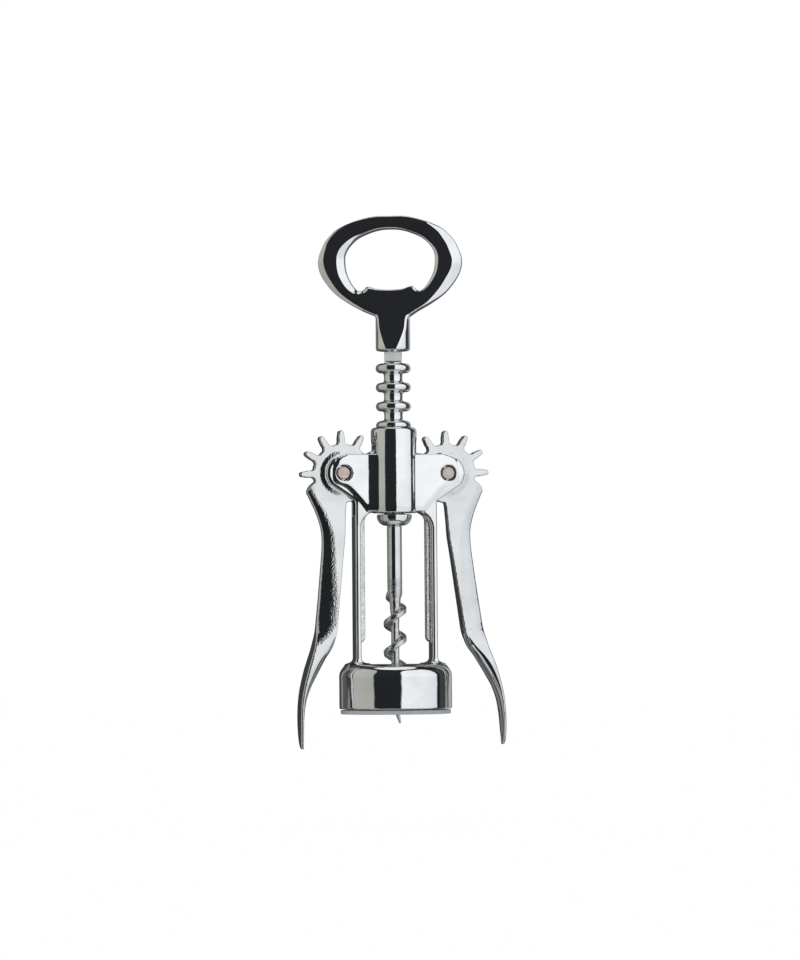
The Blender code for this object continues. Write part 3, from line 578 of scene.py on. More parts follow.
def surface_net(solid: Field, low: Corner, high: Corner, cell: float) -> tuple[Array, Array]:
    """A closed mesh of quads where a signed distance is zero.

    The distance is sampled on a grid of cubes. Each cube that the surface crosses gets one point,
    at the mean of the places where it crosses the cube's edges, and each crossed edge of the grid
    gets one quad, through the points of the four cubes around it.

    Args:
        solid: The signed distance.
        low: Lowest corner of the grid, outside the solid.
        high: Highest corner of the grid, outside the solid.
        cell: Size of a cube.

    Returns:
        Points and quads.
    """
    axes = [np.arange(start, end + cell, cell) for start, end in zip(low, high)]
    values = solid(*np.meshgrid(*axes, indexing="ij", sparse=True))
    inside = values < 0
    cubes = tuple(count - 1 for count in values.shape)
    total = np.zeros((*cubes, 3))
    crossings = np.zeros(cubes)
    quads = []
    edges = []
    for axis in range(3):
        start = np.take(values, range(cubes[axis]), axis)
        end = np.take(values, range(1, cubes[axis] + 1), axis)
        crossed = (start < 0) != (end < 0)
        part = np.where(crossed, start / np.where(crossed, start - end, 1.0), 0.0)
        edges.append(crossed)
        others = [other for other in range(3) if other != axis]
        for first in (0, 1):
            for second in (0, 1):
                window = [slice(None)] * 3
                window[others[0]] = slice(first, cubes[others[0]] + first)
                window[others[1]] = slice(second, cubes[others[1]] + second)
                hit = crossed[tuple(window)]
                crossings += hit
                total[..., axis] += part[tuple(window)]
                total[..., others[0]] += hit * first
                total[..., others[1]] += hit * second
    active = crossings > 0
    index = np.full(cubes, -1)
    index[active] = np.arange(active.sum())
    corner = np.argwhere(active)
    points = (corner + total[active] / crossings[active][:, None]) * cell + np.asarray(low)
    for axis, crossed in enumerate(edges):
        after, last = (axis + 1) % 3, (axis + 2) % 3
        place = np.argwhere(crossed)
        place = place[(place[:, after] > 0) & (place[:, last] > 0)]
        place = place[(place[:, after] < cubes[after]) & (place[:, last] < cubes[last])]
        ring = []
        for step_after, step_last in ((-1, -1), (0, -1), (0, 0), (-1, 0)):
            cube = place.copy()
            cube[:, after] += step_after
            cube[:, last] += step_last
            ring.append(index[tuple(cube.T)])
        ring = np.stack(ring, axis=1)
        leaving = inside[tuple(place.T)]
        quads.append(np.where(leaving[:, None], ring, ring[:, ::-1]))
    return points, np.concatenate(quads)


def slopes(solid: Field, points: Array, probe: float = 0.03) -> Array:
    """Gradient of a signed distance: half the difference of two probes, per unit of length."""
    steps = np.eye(3) * probe
    rows = [solid(*(points + step).T) - solid(*(points - step).T) for step in steps]
    return np.stack(rows, axis=1) / (2 * probe)


def solid_mesh(solid: Field, low: Corner, high: Corner, cell: float) -> tuple[Array, Array, Array]:
    """A surface net whose points are moved onto the surface along its slope.

    Args:
        solid: The signed distance.
        low: Lowest corner of the grid.
        high: Highest corner of the grid.
        cell: Size of a cube.

    Returns:
        Points, quads and the surface's normals at the points.
    """
    points, quads = surface_net(solid, low, high, cell)
    for _ in range(3):
        slope = slopes(solid, points)
        length = np.maximum((slope**2).sum(axis=1), 0.2)
        move = np.clip(solid(*points.T) / length, -cell / 2, cell / 2)
        points = points - slope * move[:, None]
    normals = slopes(solid, points)
    return points, quads, normals / np.linalg.norm(normals, axis=1)[:, None]


# Meshes and pieces


def turn_matrix(axis: int, degrees: float) -> Array:
    """Rotation about a coordinate axis by the right-hand rule, as a matrix for row vectors."""
    cosine, sine = math.cos(math.radians(degrees)), math.sin(math.radians(degrees))
    first, second = (axis + 1) % 3, (axis + 2) % 3
    matrix = np.eye(3)
    matrix[first, first] = matrix[second, second] = cosine
    matrix[first, second], matrix[second, first] = sine, -sine
    return matrix


def make_piece(
    name: str,
    points: Array,
    faces: Array | list,
    material: bpy.types.Material,
    normals: Array | None = None,
) -> bpy.types.Object:
    """Put a mesh given in millimetres into the scene.

    Args:
        name: Name of the piece.
        points: Points as rows.
        faces: Corner numbers of the faces.
        material: Its finish.
        normals: Normals at the points, where they are known exactly.

    Returns:
        The object.
    """
    mesh = bpy.data.meshes.new(name)
    faces = faces.tolist() if isinstance(faces, np.ndarray) else faces
    mesh.from_pydata((points * MM).tolist(), [], faces)
    mesh.materials.append(material)
    mesh.shade_smooth()
    if normals is not None:
        mesh.normals_split_custom_set_from_vertices(normals.tolist())
    piece = bpy.data.objects.new(name, mesh)
    bpy.context.scene.collection.objects.link(piece)
    return piece


def dress(piece: bpy.types.Object, body: str, node: str) -> None:
    """Let a piece stand for a CAD node.

    Args:
        piece: The piece.
        body: The body that it rides on.
        node: The node that it replaces.
    """
    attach(piece, body)
    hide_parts(node)
    LOG.info("%s rides on %s: %d faces", piece.name, body, len(piece.data.polygons))


def wall(count: int, steps: int) -> Array:
    """Quads from each ring of points to the next, and from the last to the first."""
    ring, here = np.arange(count)[:, None] * steps, np.arange(steps)[None, :]
    below, after = np.roll(ring, -1, axis=0), (here + 1) % steps
    return np.stack([ring + here, below + here, below + after, ring + after], axis=2)


def turned(profile: Array, steps: int, closed: bool) -> tuple[Array, list]:
    """A profile of radius and height carried round the Z axis.

    A point is (radius cos angle, radius sin angle, height). The profile runs down its outer side.
    An open profile starts and ends on the axis, where its rings close to a point.

    Args:
        profile: Radius and height as rows.
        steps: Number of steps round the axis.
        closed: Whether the profile closes on itself, as for a ring.

    Returns:
        Points and faces.
    """
    angles = np.arange(steps) * 2 * np.pi / steps
    rows = profile if closed else profile[1:-1]
    radius, height = rows[:, :1], rows[:, 1:]
    flat = [radius * np.cos(angles), radius * np.sin(angles), np.repeat(height, steps, axis=1)]
    points = np.stack(flat, axis=2).reshape(-1, 3)
    quads = wall(len(rows), steps)
    if closed:
        return points, quads.reshape(-1, 4).tolist()
    faces = quads[:-1].reshape(-1, 4).tolist()
    top, foot = len(points), len(points) + 1
    ends = np.array([[0, 0, profile[0, 1]], [0, 0, profile[-1, 1]]])
    last = (len(rows) - 1) * steps
    here = np.arange(steps)
    after = (here + 1) % steps
    faces += np.stack([np.full(steps, top), here, after], axis=1).tolist()
    faces += np.stack([np.full(steps, foot), last + after, last + here], axis=1).tolist()
    return np.concatenate([points, ends]), faces


def lattice_noise(across: Array, along: Array, period: int) -> Array:
    """Random heights on a lattice, read between its points by smooth weights.

    Args:
        across: First coordinates, repeating after the period.
        along: Second coordinates.
        period: Number of lattice steps in one round of the first coordinate.

    Returns:
        Heights between 0 and 1.
    """
    heights = np.random.default_rng(5).random((period, 211))
    i, j = np.floor(across).astype(int), np.floor(along).astype(int)
    s, t = across - i, along - j
    s, t = s * s * (3 - 2 * s), t * t * (3 - 2 * t)
    corners = [heights[(i + a) % period, (j + b) % 211] for a in (0, 1) for b in (0, 1)]
    near, far = corners[0] * (1 - t) + corners[1] * t, corners[2] * (1 - t) + corners[3] * t
    return near * (1 - s) + far * s


def rounded(corners: Sequence[tuple[float, float, float]], closed: bool, steps: int = 4) -> Array:
    """A profile whose corners are rounded by arcs.

    At each corner an arc of the given radius touches both straight sides: it starts and ends at the
    radius times the tangent of half the turning angle from the corner.

    Args:
        corners: Rows of radius, height and rounding.
        closed: Whether the last corner joins the first.
        steps: Number of pieces of an arc.

    Returns:
        Points as rows.
    """
    rows = np.asarray(corners, dtype=float)
    spots, rounding = rows[:, :2], rows[:, 2]
    result = []
    for number, (spot, radius) in enumerate(zip(spots, rounding)):
        inner = closed or 0 < number < len(spots) - 1
        if radius <= 0 or not inner:
            result.append(spot[None, :])
            continue
        back = spots[number - 1] - spot
        ahead = spots[(number + 1) % len(spots)] - spot
        back, ahead = back / np.linalg.norm(back), ahead / np.linalg.norm(ahead)
        half = math.acos(np.clip(back @ ahead, -1.0, 1.0)) / 2
        centre = spot + (back + ahead) / np.linalg.norm(back + ahead) * radius / math.sin(half)
        start = spot + back * radius / math.tan(half) - centre
        end = spot + ahead * radius / math.tan(half) - centre
        turn = math.atan2(start[0] * end[1] - start[1] * end[0], start @ end)
        angles = math.degrees(math.atan2(start[1], start[0])) + np.degrees([0.0, turn])
        result.append(arc(centre, radius, angles[0], angles[1], steps))
    return np.concatenate(result)


# The tool's shared sizes


@dataclass(frozen=True)
class Shared:
    """Sizes that more than one sub-assembly follows, in millimetres."""

    pivot_reach: float = 17.747
    pivot_height: float = 68.1
    bell_top: float = 4.6
    bell_bottom: float = -10.2
    bell_radius: float = 18.75
    fit: float = 0.3
    sleeve_bottom: float = 50.63
    sleeve_top: float = 105.09
    stem_radius: float = 1.8
    worm_turn: float = -17.0
    play: float = 1.5


SIZES = Shared()
PIVOT = (SIZES.pivot_reach, SIZES.pivot_height)


def at_pivot(points: Array, side: Side) -> Array:
    """Points moved from the origin to the pivot of a side."""
    return points + (side.value * PIVOT[0], 0, PIVOT[1])


@dataclass
class FrameCasting:
    """Barrel, ears, legs and bell, cast in one piece."""

    finish: Chrome
    barrel_radius: float = 7.63
    bore_radius: float = 6.2
    barrel_top: float = 83.4
    barrel_bottom: float = 54.9
    barrel_edge: float = 1.4
    barrel_foot_edge: float = 0.5
    cheek_half: float = 4.2
    face_bevel: float = 0.9
    face_slope: float = 0.5
    ear_rounding: tuple[float, float] = (1.55, 1.15)
    rise_start: float = 9.7
    rise_slope: float = 0.15
    barrel_fillet: float = 0.6
    ear_radius: float = 5.9
    ear_rise: float = 0.8
    ledge_half: float = 3.6
    leg_rounding: tuple[float, float] = (0.9, 0.72)
    leg_inner: float = 12.05
    leg_outer: float = 13.9
    shoulder_drop: float = 9.6
    arch_radius: float = 6.0
    arch_rise: float = 0.6
    foot_flare: float = 2.3
    rib_depth: float = 1.8
    rib_half: float = 1.0
    rib_arch: float = 3.6
    rib_foot_gap: float = 9.0
    slot_half: float = 2.5
    slot_radius: float = 14.6
    pin_hole: float = 2.55
    countersink: float = 0.3
    cavity_radius: float = 16.5
    cavity_top: float = 1.8
    roof_hole: float = 6.0
    bell_shoulder: float = 4.0
    rim_edge: float = 0.5
    overlap: float = -2.0
    ear_inset: float = 0.8
    foot_depth: float = 0.8
    face_drop: float = 0.3
    ledge_setback: float = 0.15
    rise_softness: float = 0.4
    ear_start: float = 57.0
    ear_blend: float = 3.0
    rib_fillet: float = 0.7
    portal_fillet: float = 0.35
    bell_fillet: float = 1.8
    bore_bottom: float = 50.0
    roof_hole_top: float = 9.0
    cell: float = 0.4

    def ear_outline(self) -> Array:
        """Outline of the right ear and its cheek, seen from the front."""
        top = PIVOT[1] + self.ear_radius + self.ear_rise
        foot = self.barrel_bottom + self.ear_inset
        start = np.array([[self.overlap, top], [self.barrel_radius, top]])
        end = np.array([[self.barrel_radius - self.ear_inset, foot], [self.overlap, foot]])
        return np.concatenate([start, arc(PIVOT, self.ear_radius, 88, -45, 24), end])

    def face_outline(self) -> Array:
        """Outline of the raised face of the right ear, which runs close past the pin."""
        top = self.ear_radius + self.ear_rise - self.face_drop
        corners = [(-1.3, top), (1.67, 5.2), (2.95, 3.7), (3.55, 0.0), (3.3, -2.3), (2.2, -3.4)]
        corners += [(-1.3, -5.2), (-5.4, -9.6), (-7.8, -12.8)]
        curve = smooth_curve(np.array(corners), 6) + PIVOT
        start = np.array([[self.overlap, curve[0, 1]], [self.barrel_radius, curve[0, 1]]])
        return np.concatenate([start, curve, [[self.overlap, curve[-1, 1]]]])

    def leg_outline(self) -> Array:
        """Outline of the ledge under the right ear, the arch and the leg."""
        radius = self.ear_radius - self.ledge_setback
        shoulder = np.array([self.leg_outer, PIVOT[1] - self.shoulder_drop])
        away = shoulder - PIVOT
        lean = math.degrees(math.atan2(away[1], away[0]) + math.acos(radius / np.linalg.norm(away)))
        bow = np.array([shoulder + (0.45, 0.42), shoulder + (0.12, 0.1), shoulder - (0, 0.6)])
        foot = SIZES.bell_top - self.foot_depth
        flare = self.foot_flare
        level = SIZES.bell_top + flare
        arch_top = self.barrel_bottom + self.arch_rise
        arch = (self.leg_inner - self.arch_radius, arch_top - self.arch_radius)
        return np.concatenate(
            [
                [(self.overlap, PIVOT[1]), PIVOT],
                arc(PIVOT, radius, 0, lean, 14),
                bow,
                arc((self.leg_outer + flare, level), flare, 180, 270, 8),
                [(self.leg_outer + flare, foot), (self.leg_inner - flare, foot)],
                arc((self.leg_inner - flare, level), flare, -90, 0, 8),
                arc(arch, self.arch_radius, 0, 90, 20),
                [(self.overlap, arch_top)],
            ]
        )

    def rib_outline(self) -> Array:
        """Outline of the rough rib along the inner side of the right leg."""
        inner = self.leg_inner - self.rib_depth
        back = (self.leg_inner + self.leg_outer) / 2
        arch_top = self.barrel_bottom + self.arch_rise
        foot = SIZES.bell_top + self.rib_foot_gap
        arch = (inner - self.rib_arch, arch_top - self.rib_arch)
        return np.concatenate(
            [
                [(back, arch_top + self.rib_depth), (back, foot - self.rib_depth)],
                arc((self.leg_inner, foot), self.rib_depth, -90, -180, 8),
                arc(arch, self.rib_arch, 0, 90, 12),
                [(inner - self.rib_arch, arch_top + self.rib_depth)],
            ]
        )

    def build(self) -> None:
        """Make the casting."""
        ears, legs = Outline(self.ear_outline()), Outline(self.leg_outline())
        ribs, raised = Outline(self.rib_outline()), Outline(self.face_outline())
        barrel_ends = (self.barrel_bottom, self.barrel_top, self.barrel_edge, self.barrel_foot_edge)
        bell_ends = (SIZES.bell_bottom, SIZES.bell_top, self.bell_shoulder, self.rim_edge)

        def solid(x: Array, y: Array, z: Array) -> Array:
            """Signed distance of the casting, the same on both sides and at front and back."""
            side, depth, reach = np.abs(x), np.abs(y), np.hypot(x, y)
            way = self.rise_start - side
            rise = self.rise_slope * (way + np.hypot(way, self.rise_softness)) / 2
            face = join(depth - self.cheek_half - rise, reach - self.barrel_radius, self.barrel_fillet)
            edge = raised.distance(side, z)
            slope = (face + (edge + self.face_bevel) * self.face_slope) / math.hypot(1, self.face_slope)
            cheeks = keep(keep(face, edge, 0.3), slope, 0.4)
            barrel = drum(reach, z, self.barrel_radius, *barrel_ends)
            bell = drum(reach, z, SIZES.bell_radius, *bell_ends)
            border = np.minimum(ears.distance(side, z), legs.distance(side, z))
            ear_share = np.clip((z - self.ear_start) / self.ear_blend, 0.0, 1.0)
            wide, deep = (a + (b - a) * ear_share for a, b in zip(self.leg_rounding, self.ear_rounding))
            portal = plate(border, depth - self.ledge_half, wide, deep)
            rib = plate(ribs.distance(side, z), depth - self.rib_half, 0.5, 0.5)
            body = join(cheeks, barrel, 0.5)
            body = join(body, join(portal, rib, self.rib_fillet), self.portal_fillet)
            body = join(body, bell, self.bell_fillet)
            pin = np.hypot(side - PIVOT[0], z - PIVOT[1])
            slot = np.maximum(pin - self.slot_radius, depth - self.slot_half)
            body = cut(body, slot, 0.5)
            mouth = self.pin_hole + np.maximum(depth - (self.cheek_half - self.countersink), 0.0)
            body = cut(body, pin - mouth, 0.2)
            body = cut(body, np.maximum(reach - self.bore_radius, self.bore_bottom - z), 0.5)
            body = cut(body, np.maximum(reach - self.roof_hole, z - self.roof_hole_top), 0.4)
            return cut(body, np.maximum(reach - self.cavity_radius, z - self.cavity_top), 0.4)

        low = (-24.6, -19.6, SIZES.bell_bottom - 0.8)
        high = (24.6, 19.6, self.barrel_top + 0.8)
        points, quads, normals = solid_mesh(solid, low, high, self.cell)
        piece = make_piece("frame_casting", points, quads, self.finish.build(), normals)
        dress(piece, "frame", "frame")


@dataclass
class BellInsert:
    """The plastic insert in the bell, with its flange, skirt, roof and guide."""

    finish: Plastic
    flange_radius: float = 18.35
    flange_top: float = -10.5
    flange_bottom: float = -11.9
    skirt_radius: float = 16.2
    recess_radius: float = 15.0
    roof_top: float = 1.5
    guide_bore: float = 4.6
    guide_radius: float = 5.7

    def build(self) -> None:
        """Make the insert."""
        corners = [
            (self.guide_bore, SIZES.bell_top, 0.2),
            (self.guide_radius, SIZES.bell_top, 0.3),
            (self.guide_radius, self.roof_top, 0.2),
            (self.skirt_radius, self.roof_top, 0.5),
            (self.skirt_radius, self.flange_top, 0.15),
            (self.flange_radius, self.flange_top, 0.3),
            (self.flange_radius, self.flange_bottom, 0.4),
            (self.recess_radius, self.flange_bottom, 0.4),
            (self.recess_radius, 0.0, 0.5),
            (self.guide_bore, 0.0, 0.2),
        ]
        points, faces = turned(rounded(corners, True), 128, True)
        piece = make_piece("bell_insert_moulding", points, faces, self.finish.build())
        dress(piece, "frame", "bell_insert")


@dataclass
class RackSleeve:
    """The turned rack: a core with nine rounded rings, the last one bowl-shaped."""

    finish: Chrome
    pitch: float = 6.376
    ring_count: int = 9
    ring_radius: float = 5.85
    ring_thickness: float = 3.06
    last_thickness: float = 3.75
    core_radius: float = 3.1
    edge: float = 1.5
    root_fillet: float = 0.95
    last_edge: float = 0.35
    last_foot: float = 3.2

    def build(self) -> None:
        """Make the rack."""
        bore = SIZES.stem_radius + SIZES.fit
        corners = [(bore, SIZES.sleeve_top, 0.0), (self.core_radius, SIZES.sleeve_top, 0.1)]
        for number in range(self.ring_count):
            last = number == self.ring_count - 1
            bottom = SIZES.sleeve_bottom + self.pitch * (self.ring_count - 1 - number)
            top = bottom + (self.last_thickness if last else self.ring_thickness)
            corners.append((self.core_radius, top, self.root_fillet if number else 0.15))
            corners.append((self.ring_radius, top, self.last_edge if last else self.edge))
            corners.append((self.ring_radius, bottom, self.last_foot if last else self.edge))
            corners.append((bore if last else self.core_radius, bottom, 0.0 if last else self.root_fillet))
        points, faces = turned(rounded(corners, True, 6), 96, True)
        piece = make_piece("rack_turned", points, faces, self.finish.build())
        dress(piece, "rack", "rack_sleeve")


@dataclass
class HandleBush:
    """The pale nylon bush between the rack and the handle."""

    finish: Plastic
    radius: float = 2.95
    bottom: float = 105.39
    top: float = 108.69

    def build(self) -> None:
        """Make the bush."""
        bore = SIZES.stem_radius + SIZES.fit
        corners = [
            (bore, self.top, 0.1),
            (self.radius, self.top, 0.25),
            (self.radius, self.bottom, 0.25),
            (bore, self.bottom, 0.1),
        ]
        points, faces = turned(rounded(corners, True), 64, True)
        piece = make_piece("bush_moulding", points, faces, self.finish.build())
        dress(piece, "rack", "handle_bush")


@dataclass
class Worm:
    """The screw: stem, shaft, core with its point off the axis, and the helical flight."""

    finish: Chrome
    stem_top: float = 119.99
    shoulder: float = 50.33
    shaft_radius: float = 2.5
    shaft_length: float = 23.0
    core_radius: float = 1.35
    length: float = 42.5
    point_length: float = 7.0
    point_radius: float = 0.3
    point_shift: float = 1.5
    radius: float = 3.9
    pitch: float = 9.6
    start_angle: float = 94.0
    lead_in: float = 2.2
    swell_above: float = 6.0
    swell_length: float = 8.9
    seat_gap: float = 0.25
    crest_half: float = 0.6
    root_half: float = 1.55
    taper: tuple = ((-13, 1.35), (-7, 1.45), (-1.1, 1.95), (0.5, 2.5))
    columns: int = 72
    row_height: float = 0.1

    def build(self) -> None:
        """Make the worm on a grid of angle and height.

        A point's distance from the axis is the core's radius plus the flight's height there. The
        flight's height depends on how far the point lies above or below the helix at its angle:
        full within crest_half of it, and falling smoothly to nothing at root_half.
        """
        step = self.shoulder - self.shaft_length
        tip = step - self.length
        point_top = tip + self.point_length
        top = self.shoulder + self.seat_gap
        rows = np.concatenate(
            [
                [self.stem_top, self.stem_top - 0.05, top + 0.05, top, top - 0.05],
                np.arange(top - 0.3, step + self.swell_above, -1.0),
                np.arange(step + self.swell_above, tip + 0.02, -self.row_height),
            ]
        )
        angles = np.arange(self.columns) * 2 * np.pi / self.columns
        z, angle = rows[:, None], angles[None, :]

        profile = [(tip, self.point_radius), (point_top, self.core_radius)]
        profile += [(step + above, radius) for above, radius in self.taper]
        profile += [(top - 0.2, self.shaft_radius), (top, self.shaft_radius - 0.2)]
        profile.append((top + 0.04, SIZES.stem_radius))
        core = np.interp(z, *zip(*profile))

        start = step + self.swell_above
        end = step - self.length + self.point_length / 2
        swell = np.clip((start - z) / self.swell_length, 0.0, 1.0)
        swell = swell * np.clip((z - end) / self.pitch, 0.0, 1.0)
        helix = step - self.lead_in + self.pitch * (angle - math.radians(self.start_angle)) / (2 * np.pi)
        away = np.abs((z - helix + self.pitch / 2) % self.pitch - self.pitch / 2)
        rise = np.clip((self.root_half - away) / (self.root_half - self.crest_half), 0.0, 1.0)
        rise = rise * (1.5 - 0.5 * rise * rise)
        chips = lattice_noise(angle / (2 * np.pi) * 24, z / 0.8, 24) * 0.16
        base = np.minimum(core, self.core_radius)
        ridge = base + (self.radius - base) * rise * swell
        ridge = ridge - chips * rise * np.clip(swell * 3, 0.0, 1.0)
        rough = np.clip((start - z) / 3, 0.0, 1.0) * (z > point_top)
        radius = np.maximum(core - chips * 0.4 * rough, ridge)
        shift = self.point_shift * np.clip((point_top - z) / self.point_length, 0.0, 1.0) ** 1.4

        flat = [radius * np.cos(angle) + shift, radius * np.sin(angle), z + 0 * angle]
        points = np.stack(flat, axis=2).reshape(-1, 3)
        faces = wall(len(rows), self.columns)[:-1].reshape(-1, 4).tolist()
        faces.append(list(range(self.columns)))
        faces.append(list(range(len(points) - self.columns, len(points)))[::-1])
        points = points @ turn_matrix(2, SIZES.worm_turn)
        piece = make_piece("worm_screw", points, faces, self.finish.build())
        dress(piece, "spindle", "worm")


@dataclass
class Handle:
    """The oval ring with the cap lifter's lip, the neck and the round collar."""

    finish: Chrome
    half_width: float = 24.1
    ring_height: float = 33.4
    ring_bottom: float = 120.59
    offset: float = -0.75
    half_thickness: float = 3.0
    hole_half_width: float = 15.15
    hole_height: float = 20.9
    band_top: float = 4.1
    collar_radius: float = 5.74
    collar_bottom: float = 108.99
    bevel_slope: float = 0.61
    cell: float = 0.36
    outer_bevels: tuple = (
        (-180, -170, -152, -136, -106, -90, -46, -34, -20, 0, 27, 41, 60, 116, 161, 172, 180),
        (2.3, 2.2, 1.5, 1.2, 0.9, 0.3, 0.3, 1.5, 2.6, 3.0, 2.6, 0.9, 0.35, 0.3, 0.8, 2.0, 2.3),
    )
    inner_bevels: tuple = (
        (-180, -154, -135, -110, -70, -44, -27, 0, 15, 35, 60, 120, 137, 150, 165, 180),
        (2.5, 2.2, 1.2, 0.5, 0.4, 0.5, 0.9, 1.3, 1.2, 0.7, 0.5, 0.55, 0.8, 1.5, 2.3, 2.5),
    )
    ring_shares: tuple = (
        (0.0, 1.0), (0.24, 0.996), (0.49, 0.951), (0.713, 0.881), (0.823, 0.814), (0.9, 0.747),
        (0.94, 0.69), (0.975, 0.63), (1.0, 0.55), (0.976, 0.445), (0.896, 0.34), (0.762, 0.227),
        (0.582, 0.135), (0.385, 0.055),
    )
    hole_shares: tuple = (
        (0.0, 1.0), (0.25, 0.985), (0.493, 0.931), (0.703, 0.857), (0.865, 0.749), (0.973, 0.626),
        (1.0, 0.502), (0.973, 0.325), (0.899, 0.187), (0.804, 0.074), (0.703, 0.005), (0.642, 0.0),
        (0.588, 0.015), (0.486, 0.074), (0.284, 0.03), (0.0, 0.015),
    )

    def ring_outline(self) -> Array:
        """Outline of the ring, closed by a flat foot inside the neck."""
        rows = np.array(self.ring_shares) * (self.half_width, self.ring_height) + (0, self.ring_bottom)
        left = rows[1:2] * (-1, 1)
        right = smooth_curve(np.concatenate([left, rows]), 6)[6:]
        foot = np.array([[0.0, 0.0], [-1.6, -2.5]]) + (self.collar_radius, self.ring_bottom)
        right = np.concatenate([right + (self.offset, 0), foot])
        left = right[::-1] * (-1, 1) + np.array([[2 * self.offset, 0]] * len(right))
        left[:2, 0] -= 2 * self.offset
        return np.concatenate([right, left[:-1]])

    def hole_outline(self) -> Array:
        """Outline of the hole, with the lifter's lip at its foot."""
        top = self.ring_bottom + self.ring_height - self.band_top
        rows = np.array(self.hole_shares) * (self.hole_half_width, self.hole_height)
        rows = rows + (0, top - self.hole_height)
        right = smooth_curve(np.concatenate([rows[1:2] * (-1, 1), rows]), 5)[5:]
        both = np.concatenate([right, right[::-1][1:-1] * (-1, 1)])
        return both + (self.offset, 0)

    def build(self) -> None:
        """Make the handle."""
        ring, hole = Outline(self.ring_outline(), 0.12), Outline(self.hole_outline(), 0.12)
        neck_heights = np.array([0.0, 0.8, 3.4, 7.4, 12.3]) + self.collar_bottom
        neck_depths = (5.9, 5.6, 4.85, 3.65, self.half_thickness)
        steepness = math.hypot(1, self.bevel_slope)
        outer_bevels, inner_bevels = eased(self.outer_bevels), eased(self.inner_bevels)

        def bevelled(edge: Array, depth: Array, width: Array) -> Array:
            """Distance to a slope that starts at the flat front, the width inside an edge."""
            return (depth - self.half_thickness + (edge + width) * self.bevel_slope) / steepness

        def solid(x: Array, y: Array, z: Array) -> Array:
            """Signed distance of the handle before its turn about the worm's axis."""
            depth, reach = np.abs(y), np.hypot(x, y)
            edge, void = ring.distance(x, z), hole.distance(x, z)
            middle = self.ring_bottom + self.ring_height / 2
            angle = np.degrees(np.arctan2(z - middle, x - self.offset))
            body = plate(edge, depth - self.half_thickness, 0.35, 0.35)
            body = keep(body, bevelled(edge, depth, np.interp(angle, *outer_bevels)), 0.35)
            body = cut(body, void, 0.35)
            body = keep(body, bevelled(-void, depth, np.interp(angle, *inner_bevels)), 0.35)
            front = (depth - np.interp(z, neck_heights, neck_depths)) * 0.97
            neck = keep(reach - self.collar_radius, front, 0.5)
            neck = keep(neck, self.collar_bottom - z, 0.9)
            neck = keep(neck, z - (self.ring_bottom + 0.4), 1.0)
            return join(body, neck, 0.5)

        low = (-25.6, -6.6, self.collar_bottom - 0.8)
        high = (24.4, 6.6, self.ring_bottom + self.ring_height + 0.8)
        points, quads, normals = solid_mesh(solid, low, high, self.cell)
        turn = turn_matrix(2, SIZES.worm_turn)
        piece = make_piece("handle_casting", points @ turn, quads, self.finish.build(), normals @ turn)
        dress(piece, "spindle", "handle")


